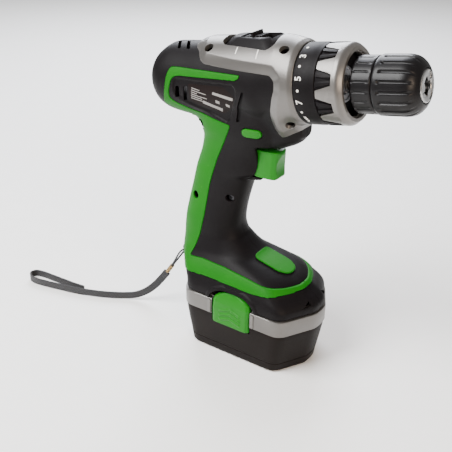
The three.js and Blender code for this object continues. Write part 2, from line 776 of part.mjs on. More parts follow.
function crown() {
  const c = COLLAR;
  const t = TEETH;
  const low = c.crownRadius - t.depth;
  const band = t.front - 0.5;
  const shoulder = c.crownFront - 3.2;
  const lip = c.crownFront - 2.6;
  const step = lip - 2.2;
  const sleeve = turned([
    [c.numberFront, c.bore], [c.numberFront, low], [band, low],
    [band, c.crownRadius], [shoulder, c.crownRadius - 0.8], [c.crownFront, c.rimRadius],
    [c.crownFront, c.mouth], [lip, c.mouth], [lip, c.bore - 3], [step, c.bore - 3],
    [step, c.bore], [c.numberFront, c.bore],
  ], 36);
  const tooth = prism([
    [t.rear, -t.rearHalf], [t.rear, t.rearHalf], [t.front, t.frontHalf], [t.front, -t.frontHalf],
  ], 'z', low - 1.6, c.crownRadius - 0.2);
  const turns = Array.from({ length: t.count }, (_, i) => t.phaseDeg + (360 * i) / t.count);
  return join(sleeve, ...turns.map((angle) => tooth.rotate([angle, 0, 0])));
}

function clutchNut() {
  const c = CLUTCH;
  return tube(COLLAR.bore - 0.5, CASE.nose + 0.5, c.nutRear, c.nutFront, 36);
}

class Helix extends THREE.Curve {
  constructor(radius, from, to, turns) {
    super();
    Object.assign(this, { radius, from, to, turns });
  }

  getPoint(t, target = new THREE.Vector3()) {
    const angle = 2 * Math.PI * this.turns * t;
    const x = this.from + (this.to - this.from) * t;
    return target.set(x, this.radius * Math.cos(angle), this.radius * Math.sin(angle));
  }
}

function alongCurve(curve, radius, sides, steps) {
  const geometry = new THREE.ExtrudeGeometry(shapeOf(circle(radius, sides)), {
    extrudePath: curve, steps, bevelEnabled: false,
  });
  return solid(geometry);
}

function coil(radius, from, to, turns, wire, stepsPerTurn) {
  const path = new Helix(radius, from + wire / 2 + GAP, to - wire / 2 - GAP, turns);
  return alongCurve(path, wire / 2, 5, Math.round(turns * stepsPerTurn));
}

// ---------------------------------------------------------------- chuck

const jawTilt = THREE.MathUtils.degToRad(JAW.tiltDeg);

// A rod that leans in towards the axis at the chuck's mouth, then turned into place.
function leaning(radius, behind, ahead, k) {
  const leaned = rod(radius, -behind, ahead, 12).rotate([0, JAW.tiltDeg, 0]);
  return leaned.translate([CHUCK.front, 0, JAW.mouthRadius]).rotate([120 * k + 90, 0, 0]);
}

function jaw(k) {
  const body = leaning(JAW.radius, JAW.length, 1.5, k);
  const nib = rod(JAW.grip, CHUCK.front - 40, CHUCK.front + 20, 18);
  const flush = block(CHUCK.front - 0.4, CHUCK.front + 20, -30, 30, -30, 30);
  return main(cut(body, nib, flush));
}

function chuckBody() {
  const c = CHUCK;
  const body = turned([
    [c.rear - 1, 0], [c.rear - 1, 10], [c.rear + 1, c.bodyRadius], [c.front - 9, c.bodyRadius],
    [c.front - 3, c.noseRadius + 0.4], [c.front, c.noseRadius - 0.6], [c.front, 0],
  ], 30);
  const socket = rod(SPINDLE.radius + 0.04, c.rear - 5, SPINDLE.front + 0.3, 24);
  const bore = rod(c.bore, SPINDLE.front + 2, c.front + 5, 28);
  const ways = [0, 1, 2].map((k) => leaning(JAW.radius + 0.35, JAW.length + JAW_RETRACT + 3, 12, k));
  return cut(body, socket, bore, ...ways);
}

function rearSleeve() {
  const c = CHUCK;
  return turned([
    [c.rear, c.bodyRadius + 0.1], [c.rear, c.rearRadius - 1.6], [c.rear + 1.6, c.rearRadius],
    [c.seam - GAP - 0.8, c.rearRadius], [c.seam - GAP, c.rearRadius - 0.8],
    [c.seam - GAP, c.bodyRadius + 0.1], [c.rear, c.bodyRadius + 0.1],
  ], 32);
}

function frontSleeve() {
  const c = CHUCK;
  const shellProfile = turned([
    [c.seam, c.sleeveBore], [c.seam, c.sleeveRadius - 0.8], [c.seam + 0.8, c.sleeveRadius],
    [c.front - 12.4, c.sleeveRadius], [c.front - 8, c.sleeveRadius - 0.9],
    [c.front - 4, c.sleeveRadius - 3], [c.front - 1.4, c.sleeveRadius - 6.2],
    [c.front - 0.6, c.noseRadius + 0.9], [c.front - 3, c.noseRadius + 0.9],
    [c.front - 9.4, c.bodyRadius + 0.6], [c.front - 11, c.sleeveBore], [c.seam, c.sleeveBore],
  ], 36);
  const f = FLUTES;
  const groove = rod(f.radius, c.seam + f.rear, c.front - f.front, 5);
  const flute = groove.translate([0, 0, c.sleeveRadius + f.out]);
  const turns = Array.from({ length: f.count }, (_, i) => f.phaseDeg + (360 * i) / f.count);
  return cut(shellProfile, ...turns.map((angle) => flute.rotate([angle, 0, 0])));
}

// ---------------------------------------------------------------- handle pieces

function trigger() {
  const t = TRIGGER;
  const middle = (t.bottom + t.top) / 2;
  const face = [
    [t.rear, t.top], [t.front - 1.2, t.top], [t.front, t.top - 3], [t.front - 2.6, middle + 1.3],
    [t.front - 1.4, middle - 5.7], [t.front + 0.4, t.bottom + 3], [t.front - 1.6, t.bottom],
    [t.rear + 7.4, t.bottom + 0.4], [t.rear, t.bottom + 3],
  ];
  const lever = prism(face, 'y', -t.halfWidth, t.halfWidth);
  const tall = 2 * (t.top - t.bottom);
  const round = alongX([
    [t.rear - 8, middle, tall, t.halfWidth + 3, 2], [t.front - 6, middle, tall, t.halfWidth + 1.8, 2],
    [t.front + 1, middle, tall, t.halfWidth - 3.4, 2],
  ]);
  return lever.intersect(round);
}

function triggerSpring() {
  const s = TRIGGER_SPRING;
  return coil(s.radius, SWITCH.front, TRIGGER.rear, s.turns, s.wire, 8).translate([0, 0, s.z]);
}

function switchModule() {
  const s = SWITCH;
  const box = block(s.rear, s.front, -s.halfWidth, s.halfWidth, s.bottom, s.top);
  const pillar = block(s.rear + 6, s.front - 4, -5, 5, s.top - 1, s.top + 8);
  return join(box, pillar);
}

function directionButton() {
  const b = BUTTON;
  const bar = prism(stadium(b.halfLength, b.halfHeight, b.x, b.z), 'y', -b.reach, b.reach);
  const waist = block(b.x - 20, b.x + 20, -12, 12, b.z - 20, b.z - 1.2);
  const grooves = [-1, 1].map((s) => (
    block(b.x - 4.6, b.x + 4.6, s * b.reach - 0.6, s * b.reach + 0.6, b.z - 0.5, b.z + 0.5)
  ));
  return cut(bar, waist, ...grooves);
}

const CONTACT = { low: TOWER.top + 1, high: TOWER.top + 7, halfLength: 12, halfWidth: 13 };

function contactBlock() {
  const c = CONTACT;
  const plate = block(
    TOWER.x - c.halfLength, TOWER.x + c.halfLength, -c.halfWidth, c.halfWidth, c.low, c.high,
  );
  return cut(plate, block(TOWER.x - 6, TOWER.x + 6, -5, 5, c.low - 1, c.high + 1));
}

const BLADE = { x: TOWER.x + 10.6, y: 7.4, half: 2.6, thickness: 0.8, depth: 12, foot: 4 };

function contactBlade(s) {
  const b = BLADE;
  const y = s * b.y;
  const low = TOWER.top - b.depth;
  const top = CONTACT.low - GAP;
  const leaf = block(b.x, b.x + b.thickness, y - b.half, y + b.half, low, top);
  const foot = block(b.x - b.foot, b.x + b.thickness, y - b.half, y + b.half, top - b.thickness, top);
  return join(leaf, foot);
}

function strapEar() {
  const e = EAR;
  const ear = rodY(e.radius, e.x, e.z, -e.halfWidth, e.halfWidth, 20);
  const stem = block(e.x, e.x + 6, -e.halfWidth, e.halfWidth, e.z - e.radius + 0.6, e.z + e.radius - 0.6);
  return cut(join(ear, stem), rodY(e.hole, e.x - 0.6, e.z, -9, 9, 16));
}

// ---------------------------------------------------------------- battery pack

function packRings(rows) {
  return loft(rows.map(([z, scale, inset]) => packPlan(scale, inset).map(([x, y]) => [x, y, z])));
}

// The foot's rim stands around the raised deck.
function deckRoom() {
  const inset = PACK.step - GAP - 0.2;
  return packRings([[PACK.bandTop - 1, 1, inset], [PACK.deck + GAP, 1, inset]]);
}

function latchPocket(grow) {
  const w = LATCH.halfWidth + grow;
  return [1, -1].map((s) => {
    const near = PACK.halfWidth - LATCH.depth - LATCH.travel - grow;
    return s > 0
      ? block(-w, w, near, 60, LATCH.bottom - grow, 90)
      : block(-w, w, -60, -near, LATCH.bottom - grow, 90);
  });
}

function packBase() {
  const p = PACK;
  const outside = packRings([[0, p.footprint, 1.2], [1.4, p.footprint, 0], [p.bandBottom - GAP, 0.985, 0]]);
  const w = p.wall;
  const inside = packRings([[p.floor, p.footprint, w], [p.bandBottom + 5, 1, w]]);
  const posts = [1, -1].map((s) => springPost(s, p.floor - 0.5, LATCH_SPRING.postTop));
  return join(cut(outside, inside, ...latchPocket(GAP)), ...posts);
}

// Stands between two cells and backs the spring of a latch.
function springPost(s, low, high) {
  const near = s * (LATCH_SPRING.seat - 1.7);
  const far = s * LATCH_SPRING.seat;
  const x = LATCH_SPRING.x;
  return block(x - 2, x + 2, Math.min(near, far), Math.max(near, far), low, high);
}

function packLid() {
  const p = PACK;
  const outside = packRings([
    [p.bandBottom, 1, 0], [p.bandTop - 0.6, 1, 0], [p.bandTop, 1, 0.6], [p.bandTop + 0.01, 1, p.step],
    [p.deck - 0.4, 1, p.step], [p.deck, 1, p.step + 0.6],
  ]);
  const top = p.bandTop - p.wall;
  const inside = packRings([[p.bandBottom - 5, 1, p.wall], [top, 1, p.wall + 0.4]]);
  const t = TOWER;
  const towerEdge = 1.2;
  const towerOut = join(
    rodZ(t.radius, t.x, 0, top, t.top - towerEdge, 32),
    rodZ(t.radius - towerEdge, t.x, 0, t.top - 2 * towerEdge, t.top, 32),
  );
  const chamfer = (s) => prism([
    [t.x + t.flat, s * 16.5], [t.x + 20, s * 16.5], [t.x + 20, s * 3],
    [t.x + 15.2, s * 3.4], [t.x + t.flat, s * 11],
  ], 'z', p.deck, t.top + 1);
  const chamfers = join(chamfer(1), chamfer(-1));
  const well = rodZ(t.radius - t.wall, t.x, 0, p.floor, t.top - t.wall, 28);
  const towerIn = cut(well, chamferInner(1), chamferInner(-1));
  const c = CROSS_CELL;
  const roomRadius = CELL.radius + 2 * GAP;
  const bumpLength = CELL.length / 2 + 2 + c.wall;
  const bump = join(
    rodY(roomRadius + c.wall, c.x, c.z, -bumpLength, bumpLength, 32),
    block(t.x, c.x, -bumpLength, bumpLength, top, c.z + roomRadius + c.wall),
  ).intersect(block(-80, 80, -60, 60, top + 0.1, 90));
  const bumpIn = rodY(roomRadius, c.x, c.z, -bumpLength + c.wall, bumpLength - c.wall, 28);
  const bumpWay = block(c.x - 8, c.x + 8, -bumpLength + c.wall, bumpLength - c.wall, p.bandBottom, c.z);
  const towerSolid = cut(towerOut, chamfers);
  const ribs = [1, -1].map((s) => {
    const y0 = s > 0 ? RIB.inner : -RIB.outer;
    const y1 = s > 0 ? RIB.outer : -RIB.inner;
    return block(-RIB.halfLength, RIB.halfLength, y0, y1, top + 0.2, RIB.top);
  });
  const slotHalf = BLADE.half + 2 * GAP;
  const slotLow = TOWER.top - BLADE.depth - 2;
  const bladeSlots = [1, -1].map((s) => block(
    BLADE.x - 5, BLADE.x + 9, s * BLADE.y - slotHalf, s * BLADE.y + slotHalf, slotLow, TOWER.top + 2,
  ));
  const body = join(cut(outside, inside), cut(join(bump, towerSolid, ...ribs), ...bladeSlots));
  return main(cut(body, cut(towerIn, ...bladeSlotWalls()), bumpIn, bumpWay, ...latchPocket(GAP)));
}

// Keeps a wall behind each contact slot of the tower.
function bladeSlotWalls() {
  return [1, -1].map((s) => block(
    BLADE.x - 7, BLADE.x + 9, s * BLADE.y - BLADE.half - 2, s * BLADE.y + BLADE.half + 2,
    TOWER.top - BLADE.depth - 4, TOWER.top + 2,
  ));
}

function chamferInner(s) {
  const t = TOWER;
  return prism([
    [t.x + t.flat - 3, s * 16.5], [t.x + 20, s * 16.5], [t.x + 20, s * 1.5],
    [t.x + 12.4, s * 2], [t.x + t.flat - 3, s * 9.4],
  ], 'z', PACK.deck - 3, t.top + 1);
}

function latch(s) {
  const l = LATCH;
  const outerY = PACK.halfWidth + l.proud;
  const plan = [
    [-l.halfWidth + 0.4, PACK.halfWidth - l.depth], [l.halfWidth - 0.4, PACK.halfWidth - l.depth],
    [l.halfWidth - 0.4, PACK.halfWidth - 0.4], [l.halfWidth - 4.4, outerY], [4.4 - l.halfWidth, outerY],
    [0.4 - l.halfWidth, PACK.halfWidth - 0.4],
  ];
  const flipped = plan.map(([x, y]) => [x, s * y]);
  const face = [
    [-l.halfWidth, l.bottom], [l.halfWidth, l.bottom], [l.halfWidth, PACK.bandTop + 2],
    [l.halfWidth - 5, l.top - 2.2], [8, l.top], [-8, l.top], [5 - l.halfWidth, l.top - 2.2],
    [-l.halfWidth, PACK.bandTop + 2],
  ];
  const profile = [
    [PACK.halfWidth - l.depth - 1, l.bottom - 1], [PACK.halfWidth + 6, l.bottom - 1],
    [PACK.halfWidth + 6, 45], [PACK.halfWidth - 3.4, l.top + 1], [PACK.halfWidth - l.depth - 1, l.top + 1],
  ].map(([y, z]) => [s * y, z]);
  const ridges = [0, 1, 2].map((i) => {
    const z = l.bottom + 4.6 + i * 4.2;
    const vee = [[-9, z], [0, z + 3], [9, z], [9, z + 1.3], [0, z + 4.3], [-9, z + 1.3]];
    const ends = [s * (outerY - 1), s * (outerY + 0.7)];
    return prism(vee, 'y', Math.min(...ends), Math.max(...ends));
  });
  const bodyLatch = prism(flipped, 'z', l.bottom, l.top + 2)
    .intersect(prism(face, 'y', -60, 60))
    .intersect(prism(profile, 'x', -60, 60));
  return join(bodyLatch, ...ridges);
}

function latchSpring(s) {
  const to = PACK.halfWidth - LATCH.depth;
  const spring = coil(LATCH_SPRING.radius, LATCH_SPRING.seat, to, 3, 0.8, 7);
  return spring.rotate([0, 0, s * 90]).translate([LATCH_SPRING.x, 0, LATCH_SPRING.z]);
}

function cellRow(count, y) {
  const low = CELL.low;
  const cells = Array.from({ length: count }, (_, i) => {
    const x = (i - (count - 1) / 2) * CELL.pitch;
    return rodZ(CELL.radius, x, y, low, low + CELL.length, 14);
  });
  const reach = ((count - 1) / 2) * CELL.pitch + 5;
  const strip = block(-reach, reach, y - 3, y + 3, low, low + 0.5);
  return join(...cells, strip);
}

function looseCell(axis) {
  const half = CELL.length / 2;
  const can = rod(CELL.radius, -half + 0.4, half - 1.2, 16);
  const cap = rod(4, half - 2, half, 8);
  const cell = can.add(cap);
  return axis === 'y' ? cell.rotate([0, 0, 90]) : cell.rotate([0, -90, 0]);
}

// ---------------------------------------------------------------- wrist strap

const CORD = { radius: 0.8, sides: 8 };
const CRIMP = { radius: 2.3, start: [-86, -1.5, 42.2], end: [-91, -2.4, 34.4] };
const STRAP_RADIUS = 1.5;

// From the crimp up to the ear, through its hole and down to the crimp again.
const LEADER_ROUTE = [
  [-85.8, -2.7, 42.5], [-81.8, -3.4, 49.2], [-77.4, -5, 56.6], [-73, -6.2, 62.8], [-70, -5.6, 65.6],
  [-69, -3, 66.2], [-69, 0, 66.2], [-69, 3, 66.2], [-70, 5.6, 65.6], [-73, 6.2, 62.8],
  [-77.4, 4.4, 56.6], [-81.8, 1.6, 49.2], [-85.8, -0.3, 42.5],
];

const WEBBING_ROUTE = [
  [-91.3, -2.5, 33.9], [-97, -3.7, 25.6], [-103.5, -6, 17], [-111, -9.4, 9.8], [-119.5, -13.9, 5.2],
  [-129, -19.2, 3.7], [-138, -24.6, 3.5], [-147, -29.4, 3.5], [-156, -33.2, 3.5], [-165, -36.6, 3.5],
  [-175, -39.6, 3.5], [-188, -42.8, 3.5], [-202, -46, 3.5], [-212.5, -47.8, 3.5], [-220.6, -46.8, 3.5],
  [-225, -42.4, 3.5], [-223.4, -37.6, 3.5], [-216, -35.4, 3.5], [-203, -34.6, 3.5],
  [-190, -34, 3.5], [-178, -33.4, 3.5], [-166.5, -32.2, 3.5],
];

function smoothPath(route) {
  return new THREE.CatmullRomCurve3(route.map((p) => new THREE.Vector3(...p)), false, 'centripetal');
}

function strapCord(route, radius, steps) {
  return alongCurve(smoothPath(route), radius, CORD.sides, steps);
}

function crimp() {
  const from = new THREE.Vector3(...CRIMP.start);
  const way = new THREE.Vector3(...CRIMP.end).sub(from);
  return aimed(rod(CRIMP.radius, 0.4, way.length() - 0.4, 14), CRIMP.start, way.toArray());
}

// ---------------------------------------------------------------- assembly

const COLOURS = {
  black: { color: 0x1d1b1e, roughness: 0.5, metalness: 0 },
  green: { color: 0x36a334, roughness: 0.6, metalness: 0 },
  silver: { color: 0xa9a6a4, roughness: 0.38, metalness: 0.6 },
  steel: { color: 0x8d9094, roughness: 0.3, metalness: 1 },
  brass: { color: 0xb59a63, roughness: 0.35, metalness: 1 },
  copper: { color: 0xb06a3c, roughness: 0.4, metalness: 1 },
  cell: { color: 0x3d6ea5, roughness: 0.5, metalness: 0 },
  webbing: { color: 0x121214, roughness: 0.85, metalness: 0 },
};

const tool = new THREE.Group();
const barrel = new THREE.Group();
barrel.position.z = BARREL.height;
barrel.rotation.y = -tilt;
tool.add(barrel);

function place(parent, name, manifold, look) {
  const mesh = new THREE.Mesh(toGeometry(manifold), new THREE.MeshStandardMaterial(COLOURS[look]));
  mesh.name = name;
  parent.add(mesh);
}

['right', 'left'].forEach((which) => {
  place(tool, `${which}_housing`, housing(which), 'black');
  place(tool, `${which}_grip`, grip(which), 'green');
  place(tool, `${which}_gear_cover`, gearCover(which), 'silver');
});
place(tool, 'foot_pad', footPad(), 'green');
place(barrel, 'speed_bezel', speedBezel(), 'black');
place(barrel, 'speed_slider', speedSlider(), 'black');

caseScrewSolids(screw).forEach((s, i) => place(tool, CASE_SCREWS[i].name, s, 'steel'));
coverScrewSolids(screw, COVER_SCREW_LENGTH).forEach((s, i) => (
  place(tool, COVER_SCREWS[i].name, s, 'steel')
));

place(barrel, 'motor_can', motorCan(), 'steel');
place(barrel, 'brush_cap', brushCap(), 'black');
place(barrel, 'rotor', rotor(), 'copper');
place(barrel, 'gear_case', gearCase(), 'steel');
place(barrel, 'first_carrier', firstCarrier(), 'steel');
[0, 1, 2].forEach((k) => {
  place(barrel, `first_planet_${k + 1}`, planet(STAGE.first, k), 'steel');
  place(barrel, `second_planet_${k + 1}`, planet(STAGE.second, k), 'steel');
  place(barrel, `jaw_${k + 1}`, jaw(k), 'steel');
});
place(barrel, 'spindle', spindle(), 'steel');
place(barrel, 'spindle_bearing', bearing(), 'steel');
place(barrel, 'clutch_nut', clutchNut(), 'black');
place(barrel, 'clutch_spring', coil(
  CLUTCH.springRadius, CLUTCH.springRear, CLUTCH.nutRear, CLUTCH.turns, CLUTCH.wire, 9,
), 'steel');
place(barrel, 'number_ring', numberRing(), 'black');
place(barrel, 'collar_crown', crown(), 'silver');
place(barrel, 'chuck_body', chuckBody(), 'steel');
place(barrel, 'rear_sleeve', rearSleeve(), 'black');
place(barrel, 'front_sleeve', frontSleeve(), 'black');

place(tool, 'trigger', trigger(), 'green');
place(tool, 'trigger_spring', triggerSpring(), 'steel');
place(tool, 'switch_module', switchModule(), 'black');
place(tool, 'direction_button', directionButton(), 'green');
place(tool, 'contact_block', contactBlock(), 'black');
place(tool, 'right_contact_blade', contactBlade(-1), 'brass');
place(tool, 'left_contact_blade', contactBlade(1), 'brass');

place(tool, 'pack_base', packBase(), 'black');
place(tool, 'pack_lid', packLid(), 'silver');
place(tool, 'right_latch', latch(-1), 'green');
place(tool, 'left_latch', latch(1), 'green');
place(tool, 'right_latch_spring', latchSpring(-1), 'steel');
place(tool, 'left_latch_spring', latchSpring(1), 'steel');
place(tool, 'right_cell_row', cellRow(3, -CELL.rowPitch), 'cell');
place(tool, 'middle_cell_row', cellRow(4, 0), 'cell');
place(tool, 'left_cell_row', cellRow(3, CELL.rowPitch), 'cell');
place(tool, 'cross_cell', looseCell('y').translate([CROSS_CELL.x, 0, CROSS_CELL.z]), 'cell');
place(tool, 'tower_cell', looseCell('z').translate([TOWER_CELL.x, 0, TOWER_CELL.z]), 'cell');

place(tool, 'strap_ear', strapEar(), 'black');
place(tool, 'strap_leader', strapCord(LEADER_ROUTE, CORD.radius, 30), 'webbing');
place(tool, 'strap_crimp', crimp(), 'brass');
place(tool, 'strap_webbing', strapCord(WEBBING_ROUTE, STRAP_RADIUS, 48), 'webbing');

export default tool;
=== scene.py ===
"""Looks of the cordless drill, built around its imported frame."""

import json
import logging
import math
from dataclasses import dataclass
from enum import Enum
from typing import Callable, Optional, Sequence

import bmesh
import bpy
import numpy as np
from mathutils import Matrix, Vector

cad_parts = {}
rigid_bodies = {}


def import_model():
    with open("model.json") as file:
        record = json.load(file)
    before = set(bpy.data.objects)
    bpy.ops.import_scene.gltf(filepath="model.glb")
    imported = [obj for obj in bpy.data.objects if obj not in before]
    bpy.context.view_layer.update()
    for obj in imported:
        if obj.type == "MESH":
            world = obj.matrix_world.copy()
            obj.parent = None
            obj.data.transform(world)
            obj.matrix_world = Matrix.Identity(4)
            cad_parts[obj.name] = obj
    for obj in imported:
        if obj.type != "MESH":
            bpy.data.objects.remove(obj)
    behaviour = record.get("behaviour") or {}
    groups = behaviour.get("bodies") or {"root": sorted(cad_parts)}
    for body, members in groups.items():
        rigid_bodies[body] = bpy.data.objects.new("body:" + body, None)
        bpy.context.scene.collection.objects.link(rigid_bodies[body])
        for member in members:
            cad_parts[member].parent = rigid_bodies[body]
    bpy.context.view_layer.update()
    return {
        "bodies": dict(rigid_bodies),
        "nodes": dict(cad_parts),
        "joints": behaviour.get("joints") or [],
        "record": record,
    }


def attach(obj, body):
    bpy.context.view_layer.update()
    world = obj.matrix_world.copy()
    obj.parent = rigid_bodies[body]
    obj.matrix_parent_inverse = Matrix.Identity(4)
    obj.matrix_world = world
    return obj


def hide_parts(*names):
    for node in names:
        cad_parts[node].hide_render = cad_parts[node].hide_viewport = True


LOG = logging.getLogger("drill")
MM = 0.001
# Further to a side than any part of the casing, in mm.
FAR = 60.0
# Half the width of the casing's parting seam, in mm.
SEAM = 0.12
# Everything of the tool lies between these corners, in mm.
ROOM_LOW, ROOM_HIGH = (-200.0, -100.0, -20.0), (200.0, 100.0, 320.0)

Point = tuple[float, float]
Ring = np.ndarray
Piece = bpy.types.Object


class Axis(Enum):
    """The direction in which an outline is drawn out."""

    X = 0
    Y = 1
    Z = 2


class Cut(Enum):
    """How one solid acts on another."""

    ADD = "UNION"
    TAKE = "DIFFERENCE"
    KEEP = "INTERSECT"


# ---------------------------------------------------------------- frames


@dataclass(frozen=True)
class BarrelFrame:
    """The barrel's own frame: its axis is X, and it points nose-up over the handle."""

    height: float = 225.4
    tilt: float = math.radians(9.6)
    radius: float = 27.4

    def to_tool(self, points: np.ndarray) -> np.ndarray:
        """Points of the barrel's frame in the tool's frame, in mm."""
        p = np.asarray(points, float)
        c, s = math.cos(self.tilt), math.sin(self.tilt)
        return np.stack([p[..., 0] * c - p[..., 2] * s, p[..., 1],
                         self.height + p[..., 0] * s + p[..., 2] * c], -1)

    def from_tool(self, points: np.ndarray) -> np.ndarray:
        """Points of the tool's frame in the barrel's frame, in mm."""
        p = np.asarray(points, float)
        c, s = math.cos(self.tilt), math.sin(self.tilt)
        x, z = p[..., 0], p[..., 2] - self.height
        return np.stack([x * c + z * s, p[..., 1], z * c - x * s], -1)

    def outline(self, points: Sequence[Point]) -> list[Point]:
        """An (x, z) outline of the barrel's frame in the tool's frame."""
        flat = np.array([[x, 0, z] for x, z in points])
        return [(float(p[0]), float(p[2])) for p in self.to_tool(flat)]


BARREL = BarrelFrame()


# ---------------------------------------------------------------- meshes


def new_object(name: str, points: np.ndarray, faces: Sequence[Sequence[int]]) -> Piece:
    """A linked mesh object from points in mm.

    Args:
        name: the object's name.
        points: vertex places in mm.
        faces: vertex numbers of each face.

    Returns:
        The object, its faces turned outwards.
    """
    mesh = bpy.data.meshes.new(name)
    mesh.from_pydata((np.asarray(points, float) * MM).tolist(), [], [list(f) for f in faces])
    work = bmesh.new()
    work.from_mesh(mesh)
    bmesh.ops.recalc_face_normals(work, faces=work.faces)
    work.to_mesh(mesh)
    work.free()
    obj = bpy.data.objects.new(name, mesh)
    bpy.context.scene.collection.objects.link(obj)
    return obj


def discard(*objects: Piece) -> None:
    """Removes working objects."""
    for obj in objects:
        bpy.data.objects.remove(obj)


def settle(obj: Piece) -> Piece:
    """Applies every modifier of an object."""
    graph = bpy.context.evaluated_depsgraph_get()
    mesh = bpy.data.meshes.new_from_object(obj.evaluated_get(graph))
    obj.modifiers.clear()
    obj.data = mesh
    return obj


def carve(obj: Piece, how: Cut, *tools: Piece) -> Piece:
    """Applies solids to an object one after another, and removes them.

    Args:
        obj: the object to change.
        how: whether the tools add, take away or keep.
        tools: the solids.

    Returns:
        The changed object.
    """
    for tool in tools:
        modifier = obj.modifiers.new("carve", "BOOLEAN")
        modifier.object = tool
        modifier.operation = how.value
        modifier.solver = "MANIFOLD"
    settle(obj)
    discard(*tools)
    return obj


def duplicate(obj: Piece, name: str) -> Piece:
    """A linked copy of an object with its own mesh."""
    copy = obj.copy()
    copy.data = obj.data.copy()
    copy.name = name
    bpy.context.scene.collection.objects.link(copy)
    return copy


def remesh(obj: Piece, voxel: float) -> Piece:
    """Rebuilds a solid from even cells of `voxel` mm, which also merges what overlaps."""
    modifier = obj.modifiers.new("remesh", "REMESH")
    modifier.mode = "VOXEL"
    modifier.voxel_size = voxel * MM
    return settle(obj)


def bevel(obj: Piece, width: float, segments: int = 2, angle: float = 35.0) -> Piece:
    """Rounds the sharp edges of an object.

    Args:
        obj: the object.
        width: how far the rounding reaches in mm.
        segments: how many strips it has.
        angle: the least angle in degrees that counts as sharp.

    Returns:
        The object.
    """
    modifier = obj.modifiers.new("bevel", "BEVEL")
    modifier.width = width * MM
    modifier.segments = segments
    modifier.limit_method = "ANGLE"
    modifier.angle_limit = math.radians(angle)
    modifier.harden_normals = False
    return settle(obj)


def smooth_shaded(obj: Piece, angle: float = 32.0) -> Piece:
    """Shades an object smooth except over edges sharper than `angle` degrees."""
    obj.data.shade_smooth()
    obj.data.set_sharp_from_angle(angle=math.radians(angle))
    return obj


def places(obj: Piece) -> np.ndarray:
    """Vertex places of an object in mm."""
    flat = np.empty(len(obj.data.vertices) * 3, np.float32)
    obj.data.vertices.foreach_get("co", flat)
    return flat.reshape(-1, 3).astype(float) / MM


def place(obj: Piece, points: np.ndarray) -> Piece:
    """Moves an object's vertices to points in mm."""
    obj.data.vertices.foreach_set("co", (points * MM).astype(np.float32).ravel())
    obj.data.update()
    return obj


def normals(obj: Piece) -> np.ndarray:
    """Unit vertex normals of an object."""
    flat = np.empty(len(obj.data.vertices) * 3, np.float32)
    obj.data.vertex_normals.foreach_get("vector", flat)
    return flat.reshape(-1, 3).astype(float)


def neighbour_mean(obj: Piece) -> Callable[[np.ndarray], np.ndarray]:
    """A function that gives each vertex the mean of its neighbours' values."""
    edges = np.empty(len(obj.data.edges) * 2, np.int32)
    obj.data.edges.foreach_get("vertices", edges)
    a, b = edges.reshape(-1, 2).T
    count = np.bincount(np.concatenate([a, b]), minlength=len(obj.data.vertices))
    count = np.maximum(count, 1)

    def mean(values: np.ndarray) -> np.ndarray:
        """The mean of each vertex's neighbours."""
        columns = values.reshape(len(values), -1)
        summed = [np.bincount(a, column[b], len(count)) + np.bincount(b, column[a], len(count))
                  for column in columns.T]
        return (np.stack(summed, -1) / count[:, None]).reshape(values.shape)

    return mean


def relax(obj: Piece, rounds: int, weight: Optional[np.ndarray] = None) -> Piece:
    """Evens out a surface.

    Args:
        obj: the object.
        rounds: how often each vertex moves half way to its neighbours' mean.
        weight: how much each vertex takes part, all fully if absent.

    Returns:
        The object.
    """
    mean = neighbour_mean(obj)
    points = places(obj)
    share = 0.5 if weight is None else 0.5 * weight[:, None]
    for _ in range(rounds):
        points = points + (mean(points) - points) * share
    return place(obj, points)


def fillet(obj: Piece, rounds: int, spread: int, crease: float = 0.035) -> Piece:
    """Fills the hollow corners where two shapes meet.

    Args:
        obj: an evenly meshed solid.
        rounds: how far the corner is rounded.
        spread: how many cells around the corner take part.
        crease: the least hollowness in mm that counts as a corner.

    Returns:
        The object.
    """
    mean = neighbour_mean(obj)
    points = places(obj)
    lift = np.einsum("ij,ij->i", mean(points) - points, normals(obj))
    weight = np.clip((lift - crease) / crease, 0, 1)
    for _ in range(spread):
        weight = np.maximum(weight, np.clip(mean(weight) * 1.6, 0, 1))
    return relax(obj, rounds, weight)


def prism(name: str, outline: Sequence[Point], axis: Axis, low: float, high: float,
          barrel: bool = False) -> Piece:
    """A solid drawn from an outline along an axis.

    Args:
        name: the object's name.
        outline: (y, z), (x, z) or (x, y) points in mm, across the axis.
        axis: the axis.
        low: where it starts.
        high: where it ends.
        barrel: whether the points are in the barrel's frame.

    Returns:
        The solid.
    """
    across = [k for k in range(3) if k != axis.value]
    count = len(outline)
    points = np.zeros((count * 2, 3))
    for row, level in enumerate((low, high)):
        points[row * count:(row + 1) * count, across] = outline
        points[row * count:(row + 1) * count, axis.value] = level
    faces = [list(range(count)), list(range(count, 2 * count))]
    faces += [[i, (i + 1) % count, count + (i + 1) % count, count + i] for i in range(count)]
    return new_object(name, BARREL.to_tool(points) if barrel else points, faces)


def box(name: str, low: Sequence[float], high: Sequence[float], barrel: bool = False) -> Piece:
    """A block between two corners in mm."""
    outline = [(low[0], low[1]), (high[0], low[1]), (high[0], high[1]), (low[0], high[1])]
    return prism(name, outline, Axis.Z, low[2], high[2], barrel)


def circle(radius: float, count: int, at: Point = (0.0, 0.0)) -> list[Point]:
    """Points around a circle."""
    turn = [2 * math.pi * i / count for i in range(count)]
    return [(at[0] + radius * math.cos(t), at[1] + radius * math.sin(t)) for t in turn]


